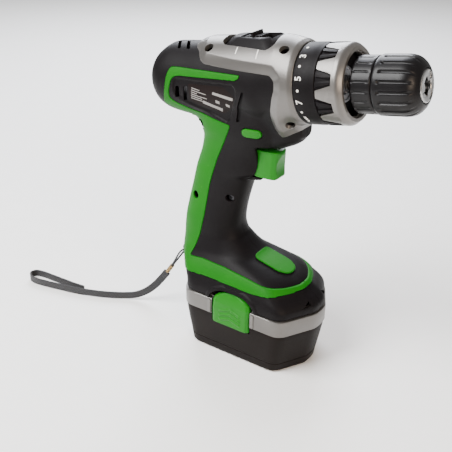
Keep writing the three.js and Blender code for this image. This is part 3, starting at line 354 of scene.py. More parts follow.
def loft(name: str, rings: Sequence[Ring], barrel: bool = False, loop: bool = False) -> Piece:
    """A skin through rings of equally many points.

    Args:
        name: the object's name.
        rings: the rings, each an (n, 3) array in mm.
        barrel: whether they are in the barrel's frame.
        loop: whether the last ring joins the first, otherwise both ends are closed.

    Returns:
        The solid.
    """
    count, rows = len(rings[0]), len(rings)
    points = np.concatenate(rings)
    faces = []
    for r in range(rows if loop else rows - 1):
        s = (r + 1) % rows
        faces += [[r * count + i, r * count + (i + 1) % count,
                   s * count + (i + 1) % count, s * count + i] for i in range(count)]
    if not loop:
        faces += [list(range(count)), list(range((rows - 1) * count, rows * count))]
    return new_object(name, BARREL.to_tool(points) if barrel else points, faces)


def turned(name: str, profile: Sequence[Point], count: int = 96, barrel: bool = True,
           shape: Optional[Callable[[float, float, float], float]] = None) -> Piece:
    """A piece turned about the barrel's axis.

    Args:
        name: the object's name.
        profile: (x, radius) points; it closes on itself where it stays off the axis.
        count: points around.
        barrel: whether it stands on the barrel's axis.
        shape: gives the radius from x, radius and angle where it isn't round.

    Returns:
        The solid.
    """
    rings = []
    for x, radius in profile:
        turn = np.linspace(0, 2 * math.pi, count, endpoint=False)
        r = np.full(count, max(radius, 1e-3))
        if shape is not None:
            r = np.array([shape(x, radius, t) for t in turn])
        rings.append(np.stack([np.full(count, x), -r * np.sin(turn), r * np.cos(turn)], -1))
    hollow = min(r for _, r in profile) > 0
    return loft(name, rings, barrel, loop=hollow)


def eased(rows: Sequence[Sequence[float]], step: float) -> np.ndarray:
    """Rows filled in between by smooth curves that never overshoot.

    Args:
        rows: rows of numbers, rising in their first one.
        step: the spacing of the new rows.

    Returns:
        The filled-in rows.
    """
    table = np.array(rows, float)
    x = table[:, 0]
    at = np.unique(np.concatenate([x, np.arange(x[0], x[-1], step)]))
    width = np.diff(x)[:, None]
    slope = np.diff(table, axis=0) / width
    inner = np.where(slope[:-1] * slope[1:] > 0,
                     2 * slope[:-1] * slope[1:] / np.where(slope[:-1] + slope[1:] == 0, 1,
                                                           slope[:-1] + slope[1:]), 0)
    rate = np.vstack([slope[:1], inner, slope[-1:]])
    k = np.clip(np.searchsorted(x, at, "right") - 1, 0, len(x) - 2)
    h = width[k]
    t = (at - x[k])[:, None] / h
    a, b = table[k], table[k + 1]
    return (a * (1 + 2 * t) * (1 - t) ** 2 + rate[k] * h * t * (1 - t) ** 2
            + b * t * t * (3 - 2 * t) + rate[k + 1] * h * t * t * (t - 1))


def chaikin(outline: Sequence[Point], rounds: int) -> list[Point]:
    """An outline with its corners cut softer at each round."""
    points = np.array(outline, float)
    for _ in range(rounds):
        after = np.roll(points, -1, 0)
        points = np.stack([points * 0.75 + after * 0.25, points * 0.25 + after * 0.75], 1)
        points = points.reshape(-1, 2)
    return [(float(x), float(y)) for x, y in points]


def rounded(outline: Sequence[Point], radius: float, steps: int = 5) -> list[Point]:
    """An outline with each corner rounded by at most `radius` mm."""
    points = np.array(outline, float)
    made: list[Point] = []
    for before, corner, after in zip(np.roll(points, 1, 0), points, np.roll(points, -1, 0)):
        u, v = before - corner, after - corner
        reach = min(radius, np.linalg.norm(u) * 0.45, np.linalg.norm(v) * 0.45)
        start = corner + u / np.linalg.norm(u) * reach
        end = corner + v / np.linalg.norm(v) * reach
        for t in np.linspace(0, 1, steps):
            p = start * (1 - t) ** 2 + corner * 2 * t * (1 - t) + end * t * t
            made.append((float(p[0]), float(p[1])))
    return made


def grown(outline: Sequence[Point], by: float) -> list[Point]:
    """An outline moved outwards by `by` mm."""
    p = np.array(outline, float)
    after = np.roll(p, -1, 0)
    area = np.sum(p[:, 0] * after[:, 1] - after[:, 0] * p[:, 1])
    way = after - p
    way /= np.maximum(np.linalg.norm(way, axis=1), 1e-9)[:, None]
    out = np.stack([way[:, 1], -way[:, 0]], -1) * np.sign(area)
    before = np.roll(out, 1, 0)
    share = by / np.maximum(0.35, 1 + np.einsum("ij,ij->i", out, before))
    moved = p + (out + before) * share[:, None]
    return [(float(x), float(y)) for x, y in moved]


def inside_depth(outline: Sequence[Point], points: np.ndarray) -> np.ndarray:
    """How far points are inside an outline.

    Args:
        outline: the outline in mm.
        points: the points as (n, 2) in mm.

    Returns:
        The depth of each point in mm, below zero outside the outline.
    """
    p = np.array(outline, float)
    q = np.roll(p, -1, 0)
    best = np.full(len(points), 1e9)
    odd = np.zeros(len(points), bool)
    for a, b in zip(p, q):
        way = b - a
        t = np.clip(((points - a) @ way) / max(way @ way, 1e-12), 0, 1)
        best = np.minimum(best, np.linalg.norm(points - a - t[:, None] * way, axis=1))
        spans = (a[1] > points[:, 1]) != (b[1] > points[:, 1])
        rise = way[1] if abs(way[1]) > 1e-12 else 1e-12
        odd ^= spans & (points[:, 0] < a[0] + (points[:, 1] - a[1]) * way[0] / rise)
    return np.where(odd, best, -best)


def soft_step(value: np.ndarray) -> np.ndarray:
    """0 below 0, 1 above 1 and a smooth rise between."""
    t = np.clip(value, 0, 1)
    return t * t * (3 - 2 * t)


def side_box(name: str, right: bool) -> Piece:
    """The half space of one side, up to the parting seam."""
    low, high = (ROOM_LOW[1], -SEAM) if right else (SEAM, ROOM_HIGH[1])
    return box(name, (ROOM_LOW[0], low, ROOM_LOW[2]), (ROOM_HIGH[0], high, ROOM_HIGH[2]))


def biggest(obj: Piece) -> Piece:
    """Drops every shell of a mesh but its largest."""
    work = bmesh.new()
    work.from_mesh(obj.data)
    work.verts.ensure_lookup_table()
    seen: set[int] = set()
    shells: list[list[bmesh.types.BMVert]] = []
    for start in work.verts:
        if start.index in seen:
            continue
        seen.add(start.index)
        shell, edge = [start], [start]
        while edge:
            vertex = edge.pop()
            for link in vertex.link_edges:
                other = link.other_vert(vertex)
                if other.index not in seen:
                    seen.add(other.index)
                    shell.append(other)
                    edge.append(other)
        shells.append(shell)
    shells.sort(key=len, reverse=True)
    bmesh.ops.delete(work, geom=[v for shell in shells[1:] for v in shell], context="VERTS")
    work.to_mesh(obj.data)
    work.free()
    return obj


# ---------------------------------------------------------------- finishes

# How sharp an edge is where its wear begins and where it is full, as Blender's pointiness.
WEAR_FROM, WEAR_FULL = 0.52, 0.62
# Size of the patches that break up the wear, in mm.
SCUFF = 3
# A wave texture of scale 1 repeats after about 1 / 6.3 of a metre, a full turn of its sine.
WAVE_TURN = 6.3


def linear(colour: str) -> tuple[float, float, float, float]:
    """A linear colour from an sRGB hex value."""
    parts = [int(colour[i:i + 2], 16) / 255 for i in (1, 3, 5)]
    flat = [p / 12.92 if p <= 0.04045 else ((p + 0.055) / 1.055) ** 2.4 for p in parts]
    return (flat[0], flat[1], flat[2], 1.0)


def add_node(tree: bpy.types.NodeTree, kind: str, inputs: Optional[dict] = None,
             **settings: object) -> bpy.types.Node:
    """Adds a node.

    Args:
        tree: the tree it goes into.
        kind: the node's type.
        inputs: a value or another node's output for each input.
        settings: the node's own settings.

    Returns:
        The node.
    """
    node = tree.nodes.new(kind)
    for key, value in settings.items():
        setattr(node, key, value)
    for key, value in (inputs or {}).items():
        if isinstance(value, bpy.types.NodeSocket):
            tree.links.new(value, node.inputs[key])
        else:
            node.inputs[key].default_value = value
    return node


class Pattern(Enum):
    """How a surface was made, which sets the relief drawn on it."""

    MOULDED = "moulded"
    TURNED = "turned"
    WOVEN = "woven"


@dataclass(frozen=True)
class Finish:
    """A surface with uneven colour, uneven gloss, fine relief and worn edges.

    The grain is the real size of the relief in mm, and the mottle that of the slow unevenness.
    """

    name: str
    colour: str
    shade: str
    worn: str
    roughness: float
    grain: float
    relief: float
    metallic: float = 0.0
    unevenness: float = 0.08
    mottle: float = 22.0
    wear: float = 0.5
    coat: float = 0.0
    coat_roughness: float = 0.2
    sheen: float = 0.0
    specular: float = 0.5
    pattern: Pattern = Pattern.MOULDED

    def relief_height(self, tree: bpy.types.NodeTree,
                      at: bpy.types.NodeSocket) -> bpy.types.NodeSocket:
        """The relief that the finish's pattern draws.

        Args:
            tree: the material's nodes.
            at: the point on the surface in metres.

        Returns:
            The height at each point, from 0 to 1.
        """
        if self.pattern is Pattern.TURNED:
            turn = add_node(tree, "ShaderNodeMapping", {
                "Vector": at, "Rotation": (0, BARREL.tilt, 0), "Scale": (1, 0.02, 0.02)})
            lines = add_node(tree, "ShaderNodeTexNoise", {
                "Vector": turn.outputs[0], "Scale": 1 / (self.grain * MM), "Detail": 3.0})
            return lines.outputs["Fac"]
        if self.pattern is Pattern.WOVEN:
            ribs = 1 / (self.grain * MM) / WAVE_TURN
            over = add_node(tree, "ShaderNodeTexWave", {
                "Vector": at, "Scale": ribs, "Distortion": 0.4},
                bands_direction="DIAGONAL")
            under = add_node(tree, "ShaderNodeTexWave", {
                "Vector": at, "Scale": ribs, "Distortion": 0.4},
                bands_direction="Z")
            both = add_node(tree, "ShaderNodeMath", {0: over.outputs["Fac"],
                                                     1: under.outputs["Fac"]},
                            operation="MAXIMUM")
            return both.outputs[0]
        spark = add_node(tree, "ShaderNodeTexNoise", {
            "Vector": at, "Scale": 1 / (self.grain * MM), "Detail": 4.0, "Roughness": 0.6})
        return spark.outputs["Fac"]

    def build(self) -> bpy.types.Material:
        """The material, made once and used again after that."""
        known = bpy.data.materials.get(self.name)
        if known is not None:
            return known
        material = bpy.data.materials.new(self.name)
        material.use_nodes = True
        tree = material.node_tree
        shader = tree.nodes["Principled BSDF"]
        at = add_node(tree, "ShaderNodeTexCoord").outputs["Object"]
        slow = add_node(tree, "ShaderNodeTexNoise", {
            "Vector": at, "Scale": 1 / (self.mottle * MM), "Detail": 3.0, "Roughness": 0.55})
        tone = add_node(tree, "ShaderNodeMix", {
            "Factor": slow.outputs["Fac"], "A": linear(self.colour), "B": linear(self.shade)},
            data_type="RGBA")
        edge = add_node(tree, "ShaderNodeNewGeometry").outputs["Pointiness"]
        sharp = add_node(tree, "ShaderNodeMapRange", {
            "Value": edge, "From Min": WEAR_FROM, "From Max": WEAR_FULL, "To Max": self.wear})
        scuff = add_node(tree, "ShaderNodeTexNoise", {
            "Vector": at, "Scale": 1 / (SCUFF * MM), "Detail": 5.0})
        rubbed = add_node(tree, "ShaderNodeMath", {
            0: sharp.outputs[0], 1: scuff.outputs["Fac"]}, operation="MULTIPLY")
        colour = add_node(tree, "ShaderNodeMix", {
            "Factor": rubbed.outputs[0], "A": tone.outputs["Result"], "B": linear(self.worn)},
            data_type="RGBA")
        tree.links.new(colour.outputs["Result"], shader.inputs["Base Color"])
        height = self.relief_height(tree, at)
        gloss = add_node(tree, "ShaderNodeMapRange", {
            "Value": height, "From Min": 0.25, "From Max": 0.75,
            "To Min": self.roughness - self.unevenness,
            "To Max": self.roughness + self.unevenness})
        tree.links.new(gloss.outputs[0], shader.inputs["Roughness"])
        bump = add_node(tree, "ShaderNodeBump", {
            "Height": height, "Distance": self.relief * MM, "Strength": 0.8})
        tree.links.new(bump.outputs[0], shader.inputs["Normal"])
        shader.inputs["Metallic"].default_value = self.metallic
        shader.inputs["Coat Weight"].default_value = self.coat
        shader.inputs["Coat Roughness"].default_value = self.coat_roughness
        shader.inputs["Sheen Weight"].default_value = self.sheen
        shader.inputs["Specular IOR Level"].default_value = self.specular
        return material


# Moulded ABS with a fine spark-eroded skin: near-black with a brown cast and a broad, dull shine.
BLACK_ABS = Finish("moulded_black_abs", "#090708", "#0e0b0d", "#262223", 0.5, 0.7, 0.035,
                   specular=0.1)
# The same plastic where the tool is smoother, on the pack: a little glossier and browner.
PACK_ABS = Finish("satin_black_abs", "#0b0706", "#120c0a", "#2a211b", 0.5, 1.1, 0.03,
                  specular=0.1)
# Soft overmoulded rubber: saturated green, hardly any shine, a dusty sheen at the edges.
GREEN_TPE = Finish("overmoulded_green_tpe", "#095904", "#0d6407", "#2a8a1e", 0.55, 0.8, 0.04,
                   specular=0.12)
# Moulded green ABS, on the parts that a finger presses: brighter and smoother than the rubber.
GREEN_ABS = Finish("moulded_green_abs", "#0c6207", "#116e0b", "#369428", 0.4, 1.4, 0.02,
                   specular=0.2)
# Silver lacquer on ABS: fine metal flakes under a clear coat, grey with a soft glow.
SILVER_PAINT = Finish("silver_lacquer_on_abs", "#585654", "#625f5c", "#96938f", 0.36, 0.5, 0.02,
                      metallic=0.62, unevenness=0.06, coat=0.25, coat_roughness=0.25, wear=0.35)
# Glass-filled nylon of the chuck's sleeves: black, with a clear highlight along each rib.
SLEEVE_NYLON = Finish("glass_filled_nylon", "#0a090a", "#100e10", "#262427", 0.34, 0.6, 0.02,
                      specular=0.2)
# Turned and ground steel: bright, with fine rings around the axis.
STEEL = Finish("turned_steel", "#b4b3b2", "#9c9b9b", "#e4e3e0", 0.26, 0.35, 0.02, metallic=1.0,
               unevenness=0.1, pattern=Pattern.TURNED)
# Zinc-plated steel of screws and springs: bluish grey and slightly cloudy.
ZINC = Finish("zinc_plated_steel", "#a9abad", "#8f9194", "#d9dadb", 0.34, 0.9, 0.02, metallic=1.0)
# Blackened screw heads, deep in their pockets. The same dark steel also goes on the motor can as
# painted shade, darkening what shows through the side vents.
DARK_STEEL_AND_VENT_SHADE = Finish("black_oxide_steel_and_vent_shade", "#3a3a3d", "#2c2c2e", "#8a8a8c", 0.4, 0.9, 0.02,
                    metallic=0.9)
# Cast aluminium of the gear case: pale and matt with a coarse skin.
ALUMINIUM = Finish("cast_aluminium", "#a3a3a2", "#8d8d8c", "#c8c8c6", 0.5, 1.4, 0.08,
                   metallic=0.9)
# Enamelled copper wire of the rotor: warm and glossy.
COPPER = Finish("enamelled_copper", "#a5532c", "#8a3f20", "#c8794e", 0.3, 0.9, 0.1,
                metallic=0.8, pattern=Pattern.TURNED)
# Brass of the contacts and the strap's crimp: yellow-brown, dulled by handling.
BRASS = Finish("dull_brass", "#8e7550", "#75603f", "#c7ad80", 0.38, 0.8, 0.02, metallic=0.9)
# Shrunk film around the cells: smooth dark blue.
FILM = Finish("shrink_film", "#22386b", "#1b2e5a", "#5870a8", 0.22, 2.0, 0.02)
# Woven polyester of the wrist strap: black thread, a rib every half millimetre or so,
# drawn at 1 mm so that it shows.
WEBBING = Finish("woven_polyester", "#141416", "#1e1e21", "#38383c", 0.8, 1.0, 0.16,
                 sheen=0.15, pattern=Pattern.WOVEN)
# Pad-printed white ink of the dial and the tick marks: flat and slightly uneven.
INK = Finish("pad_printed_ink", "#d9d7d2", "#cbc9c4", "#f0eeea", 0.5, 0.6, 0.01)
# Grey ink of the blank rating plate.
GREY_INK = Finish("grey_printed_ink", "#8a8784", "#7a7774", "#a8a5a2", 0.5, 0.6, 0.01)
# Film under the plate's print: brownish black and smoother than the shell around it.
PLATE_FILM = Finish("printed_polyester_film", "#0e0706", "#140b0a", "#2a1e1c", 0.5, 1.6, 0.01,
                    specular=0.1)

SLOT_FINISH = {
    "black_abs": BLACK_ABS, "green_tpe": GREEN_TPE, "green_abs": GREEN_ABS,
    "silver_painted_abs": SILVER_PAINT, "pack_black_abs": PACK_ABS,
    "sleeve_black_nylon": SLEEVE_NYLON, "machined_steel": STEEL, "zinc_plated_steel": ZINC,
    "cast_aluminium": ALUMINIUM, "copper_windings": COPPER, "brass": BRASS, "cell_sleeve": FILM,
    "black_webbing": WEBBING,
}


def dress(obj: Piece, finish: Finish, angle: float = 32.0) -> Piece:
    """Gives an object a finish and smooth shading."""
    obj.data.materials.clear()
    obj.data.materials.append(finish.build())
    return smooth_shaded(obj, angle)


def finished(obj: Piece, finish: Finish, body: str, nodes: Sequence[str] = (),
             angle: float = 32.0) -> Piece:
    """Dresses a piece and ties it to the frame.

    Args:
        obj: the piece.
        finish: its finish.
        body: the CAD body it rides on.
        nodes: the CAD nodes it stands for.
        angle: the sharpest edge in degrees that is still shaded smooth.

    Returns:
        The piece.
    """
    dress(obj, finish, angle)
    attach(obj, body)
    if nodes:
        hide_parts(*nodes)
    LOG.info("%s: %d faces on %s", obj.name, len(obj.data.polygons), body)
    return obj


# ---------------------------------------------------------------- casing


@dataclass
class PackPlan:
    """The battery pack's outline from above."""

    half_length: float = 62.0
    half_width: float = 37.9
    quarter: tuple[Point, ...] = ((62, 0), (61.3, 8.4), (58.1, 14), (47.4, 33.5), (43.2, 37),
                                  (39.3, 37.9))

    def outline(self, scale: float = 1.0, inset: float = 0.0) -> list[Point]:
        """The outline, scaled about the middle and then moved inwards by `inset` mm."""
        right = list(self.quarter)
        left = [(-x, y) for x, y in reversed(right[1:])]
        upper = right + left
        lower = [(x, -y) for x, y in reversed(upper[1:])]
        full = rounded(upper + [(-right[0][0], 0)] + lower, 7.0, 6)
        grow = []
        for x, y in full:
            size = math.hypot(x, y)
            grow.append((x * (scale - inset / size), y * (scale - inset / size)))
        return grow

    def even(self, count: int, scale: float = 1.0, inset: float = 0.0) -> np.ndarray:
        """The outline as `count` points at even angles from the middle, as (n, 2)."""
        corners = np.array(self.outline(scale, inset))
        share = np.linspace(0, 1, 40, endpoint=False)[:, None]
        p = np.concatenate([a + (b - a) * share for a, b in zip(corners, np.roll(corners, -1, 0))])
        turn = np.arctan2(p[:, 1], p[:, 0])
        order = np.argsort(turn)
        turn, reach = turn[order], np.hypot(*p[order].T)
        at = np.linspace(-math.pi, math.pi, count, endpoint=False)
        r = np.interp(at, turn, reach, period=2 * math.pi)
        return np.stack([r * np.cos(at), r * np.sin(at)], -1)


PLAN = PackPlan()


@dataclass
class Casing:
    """The clamshell casing: handle and foot, barrel and chin, with its grooves and openings."""

    wall: float = 2.4
    voxel: float = 0.8
    foot_bottom: float = 51.3
    arch_half: float = 22.0
    arch_top: float = 60.5
    handle: tuple = (
        (51.3, -61, 61, 37.2, 3, 1), (57, -61, 60.6, 37, 3, 1),
        (60, -61.6, 58.6, 36.4, 3, 0.97), (63, -62.8, 55.2, 35.4, 3, 0.92),
        (66, -64, 51, 34, 3.2, 0.85), (70, -65, 46.5, 32.4, 3.2, 0.7),
        (73.5, -65.4, 41, 30.6, 3.2, 0.5), (76.5, -65.6, 33.5, 28.6, 3, 0.3),
        (80, -65.8, 21, 26, 2.8, 0.1),
        (84, -66, 5.5, 23.4, 2.6, 0), (93.5, -66, -8.6, 20.4, 2.5, 0),
        (96.5, -65.8, -12.4, 19.9, 2.5, 0),
        (106, -64.8, -15.4, 19.3, 2.5, 0), (118, -62.8, -13.8, 18.2, 2.4, 0),
        (134, -59.2, -10, 17.2, 2.4, 0), (149, -56, -4.8, 17, 2.4, 0),
        (155, -54.4, 4.5, 17, 2.4, 0), (168, -50.3, 8, 17.4, 2.4, 0), (178, -49, 14, 18.4, 2.4, 0),
        (188, -53.5, 20, 20.4, 2.4, 0), (206, -62, 24, 22.4, 2.3, 0))
    barrel: tuple = (
        (-91.5, 4, 14, 15), (-89.9, 4, 17.6, 19.4), (-86, 3.6, 21.9, 23),
        (-80, 2.9, 24.4, 25.1), (-70, 1.8, 25.8, 26.2), (-55, 0.4, 27, 26.9),
        (-40, 0, 27.4, 27.4), (24, 0, 27.4, 27.4), (39.5, 0, 26.9, 26.9))
    chin: tuple = ((-4, -49.5, 12.5), (8, -49.5, 13), (20, -46.8, 12.4), (28.5, -43, 10.4),
                   (31.5, -39.6, 8.6))
    chin_top: float = -12.0
    throat_levels: tuple[float, ...] = (-9, -17, -25, -33, -40)
    throat: tuple = ((6, (22.7, 20.3, 16.5, 12.9, 10)), (20, (26.4, 23.8, 19.6, 14.5, 10.5)),
                     (32.5, (26.2, 22, 13, 8.4, 6.8)))
    cover: tuple[Point, ...] = (
        (-52, 45), (-50, 29), (-43.8, 26), (-41, 21.6), (-36.7, 18.2), (-10.8, 14.5), (21.5, 11),
        (25, 7.5), (25, 1.5), (21.7, -6.2), (17.1, -18), (15.8, -30), (18.5, -38), (33, -32.2),
        (41.5, -29), (41.5, 45))
    band: tuple[Point, ...] = (
        (-77, -8), (-72.6, 1.9), (-69.9, 11.2), (-66.8, 16), (-60.1, 15.9), (-33.2, 13.5),
        (-3.6, 10.6), (-4.6, 8.3), (-7.8, 7), (-32.5, 8.5), (-58.9, 9.9), (-64.2, 8.9),
        (-67.2, 4.2), (-69.6, -2.3), (-70.5, -7), (-66.6, -10.6), (-53.1, -16.5), (-41.9, -21),
        (-20.7, -27.7))
    grip_back: tuple[Point, ...] = (
        (-15.6, 193.2), (-17.4, 188.6), (-23.1, 176.6), (-28.8, 164), (-32.7, 151.8),
        (-35.8, 140.2), (-38, 125.2), (-39.8, 111.4), (-42.9, 94.3), (-45.6, 84.9),
        (-48.4, 76.6), (-35.4, 78.3), (-12.8, 77.6), (9.4, 75.3), (25.3, 73), (33, 72.2),
        (44, 71.4), (60, 71.2), (60, 68.6), (47, 68.6), (38, 68.2), (25, 66.8), (13, 66.2),
        (-8, 66.9), (-30, 67.2), (-54, 65.6), (-75, 65), (-75, 150), (-60, 170), (-52, 180))
    grip_link: tuple[Point, ...] = ((-46.7, -31.4),)
    grip_corner: tuple[Point, ...] = ((-62, 189),)
    under: tuple[Point, ...] = ((-56.8, -21.4), (-67.2, -19), (-80.2, -13))
    panel: tuple[Point, ...] = (
        (-62.4, 8.6), (-9, 4.6), (-6.4, -1), (-8.8, -6.5), (-14.2, -15), (-18.8, -24),
        (-22.5, -26.2), (-55.4, -10.6), (-62.6, -6.4), (-65.6, -1), (-64.6, 5.4))
    top_vents: tuple = (((-66.1, 12.4), (-63.2, 12.4), (-69.3, 1.2), (-72.2, 1.2)),
                        ((-57.4, 12.8), (-54.2, 12.8), (-61.0, 1.2), (-64.2, 1.2)))
    side_vents: tuple = (((-62.9, 2.1), (-59.3, 2.1), (-60.9, -6.6), (-64.5, -6.6)),
                         ((-55.0, 2.2), (-51.4, 2.2), (-54.3, -9.0), (-57.6, -9.0)))
    slit: tuple[Point, ...] = ((-2.2, -0.6), (-0.2, -0.8), (-2.0, -6.0), (-6.9, -14.6),
                               (-11.4, -24.6), (-14.2, -24.8), (-10.6, -14.6), (-4.8, -5.6))
    lip: tuple[Point, ...] = ((-20, 143), (-8, 148.4), (3.4, 150.6), (5.8, 151.4),
                              (6, 152.7), (-20, 152.7))
    front_room: tuple[Point, ...] = ((3.2, 152.7), (3.2, 179.4), (16, 179), (26, 178),
                                     (60, 176), (60, 152.7))
    recess: tuple = ((54.7, 10.3, 61.8), (54.3, 17.9, 57.3), (57.8, 10.1, 58.7))
    recess_way: tuple[float, ...] = (0.75, 0.45, 0.48)
    pad: tuple[Point, ...] = (
        (3.4, -8.4), (5.8, -10.4), (26, -10.4), (32.4, -7), (34.4, -2.6), (34.4, 2.6), (32.4, 7),
        (26, 10.4), (5.8, 10.4), (3.4, 8.4))
    # How far the layers stand out over the black shell, and how deep they reach, in mm.
    grip_rise: float = 0.55
    pad_rise: float = 1.5
    layer_floor: float = -1.5
    panel_depth: float = 1.3
    bulge_rise: float = 1.3
    rim_rise: float = 0.8
    hood_rise: float = 3.4
    # The prints: their thickness over and under the surface, and their places on the barrel.
    ink_over: float = 0.07
    ink_under: float = 0.2
    ticks: tuple = (((-8.8, -20.6, 14), (-8.0, -16.6, 36)), ((9.4, -23.0, 12), (10.3, -18.4, 36)),
                    ((32.4, -1.4, 18), (36.4, 1.4, 40)))
    plate: tuple[Point, ...] = ((-50.5, 4.2), (-18.6, 2.4), (-9.6, -5.8), (-13.6, -13),
                                (-24.2, -19.2), (-41.6, -13.4), (-50.6, -9.4))
    plate_bars: tuple = (((-28.4, -1.6), (-11.6, -6.0), (-12.6, -8.2), (-29.2, -3.4)),
                         ((-38.9, -8.5), (-24.2, -15.0), (-25.4, -17.4), (-40.0, -10.7)),
                         ((-27.4, -7.8), (-24.4, -8.9), (-25.2, -11.2), (-28.0, -10.0)),
                         ((-19.4, -10.6), (-16.6, -11.7), (-17.4, -13.8), (-20.0, -12.6)))
    plate_lines: tuple[float, ...] = (7.0, 12.5, 5.0, 13.5, 9.5, 11.0)
    line_start: Point = (-47.2, 1.4)
    line_step: Point = (-0.45, -1.55)
    line_fall: float = 0.27
    line_height: float = 0.55

    @staticmethod
    def superellipse(turn: np.ndarray, a: float, b: float, power: float) -> np.ndarray:
        """Points of a rounded box outline as (n, 2)."""
        c, s = np.cos(turn), np.sin(turn)
        return np.stack([a * np.sign(c) * np.abs(c) ** (2 / power),
                         b * np.sign(s) * np.abs(s) ** (2 / power)], -1)

    def handle_solid(self, grow: float, drop: float) -> Piece:
        """Handle and foot, grown by `grow` and reaching `drop` mm further down."""
        turn = np.linspace(0, 2 * math.pi, 120, endpoint=False)
        plan = PLAN.even(720)
        heading = np.arctan2(plan[:, 1], plan[:, 0])
        rings = []
        for row, (z, rear, front, half, power, share) in enumerate(eased(self.handle, 1.5)):
            a, b = (front - rear) / 2 + grow, half + grow
            p = self.superellipse(turn, a, b, power)
            ray = np.arctan2(p[:, 1] / b * PLAN.half_width, p[:, 0] / a * PLAN.half_length)
            reach = np.interp(ray, heading, np.hypot(*plan.T), period=2 * math.pi)
            q = np.stack([reach * np.cos(ray) * a / PLAN.half_length,
                          reach * np.sin(ray) * b / PLAN.half_width], -1)
            flat = p + (q - p) * min(max(share, 0), 1)
            level = z - (drop if row == 0 else 0)
            rings.append(np.stack([flat[:, 0] + (front + rear) / 2, flat[:, 1],
                                   np.full(len(flat), level)], -1))
        return loft("handle_solid", rings)

    def along(self, name: str, rows: np.ndarray, power: float) -> Piece:
        """A solid along the barrel from rows of x, centre height, half height and half width."""
        turn = np.linspace(0, 2 * math.pi, 120, endpoint=False)
        rings = []
        for x, centre, high, wide in rows:
            p = self.superellipse(turn, wide, high, power)
            rings.append(np.stack([np.full(len(p), x), p[:, 0], centre + p[:, 1]], -1))
        return loft(name, rings, barrel=True)

    def form(self, grow: float = 0.0, drop: float = 0.0, voxel: float = 0.8) -> Piece:
        """The casing's outside as one solid.

        Args:
            grow: how far it is moved outwards in mm.
            drop: how much further down the foot reaches.
            voxel: the mesh's cell size in mm.

        Returns:
            The solid.
        """
        barrel = eased(self.barrel, 1.5)
        barrel[:, 2:] += grow
        barrel[0, 0] -= grow
        rows = eased([(x, (self.chin_top + low) / 2, (self.chin_top - low) / 2, half)
                      for x, low, half in self.chin], 1.5)
        rows[:, 2:] += grow
        rows[0, 0] -= min(grow, 0)
        rows[-1, 0] += min(grow, 0)
        throat = []
        for x, widths in self.throat:
            half = [(z, y + grow) for z, y in zip(self.throat_levels, widths)]
            ring = [(y, z) for z, y in half] + [(-y, z) for z, y in reversed(half)]
            at = x + min(grow, 0) * (x > 30)
            throat.append(np.array([(at, y, z) for y, z in chaikin(ring, 2)]))
        parts = [self.handle_solid(grow, drop), self.along("barrel_solid", barrel, 2.05),
                 self.along("chin_solid", rows, 2.5), loft("throat", throat, barrel=True)]
        whole = parts[0]
        carve(whole, Cut.ADD, *parts[1:])
        remesh(whole, voxel)
        reach = round(14 / voxel)
        return relax(fillet(whole, 2 * reach, round(3.5 / voxel)), 2)

    def shaped(self, whole: Piece) -> Piece:
        """Adds the side panels, the bulge over the gears and the rims of the foot's arches."""
        points = places(whole)
        local = BARREL.from_tool(points)
        out = normals(whole)
        flat = local[:, [0, 2]]
        upper = (np.abs(points[:, 1]) > 6) & (points[:, 2] > 170)
        panel = soft_step(inside_depth(rounded(self.panel, 5), flat) / 1.4) * upper
        bulge = np.exp(-((flat[:, 0] - 3) / 7) ** 2 - ((flat[:, 1] + 12) / 14) ** 2) * upper
        skirt = (points[:, 2] < 66) & (np.abs(points[:, 1]) > 22)
        off = inside_depth(self.arch(3.4), points[:, [0, 2]])
        rim = soft_step(off / 0.9) * skirt
        move = bulge * self.bulge_rise + rim * self.rim_rise - panel * self.panel_depth
        along, high = local[:, 0], np.clip(local[:, 2] / BARREL.radius, 0, 1.1)
        fade = 1 - 0.6 * soft_step((along - 20) / 20)
        hood = self.hood_rise * soft_step((along + 88) / 16) * fade
        raised = np.column_stack([local[:, 0], local[:, 1], local[:, 2] + hood * high ** 2])
        return place(whole, BARREL.to_tool(raised) + out * move[:, None])

    @staticmethod
    def arch(grow: float) -> list[Point]:
        """The (x, z) outline of the opening over a latch, grown by `grow` mm."""
        half, low, top = Casing.arch_half, Casing.foot_bottom, Casing.arch_top
        points = [(half, low - 6), (half, low + 1), (half - 4, top - 2.5), (half - 12, top + 1.2),
                  (12 - half, top + 1.2), (4 - half, top - 2.5), (-half, low + 1),
                  (-half, low - 6)]
        return grown(rounded(points, 4), grow)

    def grip_outline(self) -> list[Point]:
        """The (x, z) outline of the soft grip on a side, in the tool's frame."""
        points = (BARREL.outline(self.band) + list(self.grip_back)
                  + BARREL.outline(self.grip_link) + list(self.grip_corner)
                  + BARREL.outline(self.under))
        return rounded(points, 2.2, 4)

    def openings(self) -> list[Piece]:
        """Solids that are cut out of every layer of the casing."""
        well = box("well", (-18, -9.9, 152.8), (40, 9.9, 176.6))
        button = self.stadium("button_hole", 7.9, 3.9, 30)
        nose = turned("nose", [(34, 0.0), (34, 24.9), (46, 24.9), (46, 0.0)])
        collar = turned("collar_room", [(39.5, 0.0), (39.5, 29.1), (90, 29.1), (90, 0.0)])
        deck = loft("deck_room", [self.level(PLAN.even(96, 1, 4.5), z) for z in (50, 53)])
        return [well, button, nose, collar, deck, self.bezel_room(), *self.latch_openings(),
                *self.recesses()]

    def recesses(self) -> list[Piece]:
        """The small three-cornered recesses in the foot's front corners."""
        found = []
        for s in (-1, 1):
            corners = np.array([(x, s * y, z) for x, y, z in self.recess])
            out = np.array(self.recess_way) * (1, s, 1)
            found.append(new_object("recess", np.concatenate([corners - out * 1.9,
                                                              corners + out * 6]),
                                    [[0, 1, 2], [3, 4, 5], [0, 1, 4, 3], [1, 2, 5, 4],
                                     [2, 0, 3, 5]]))
        return found

    @staticmethod
    def bezel_room() -> Piece:
        """The pocket of the speed control's bezel."""
        return prism("bezel_room", SpeedControl().outline(0.3), Axis.Z, 21.7, 60, barrel=True)

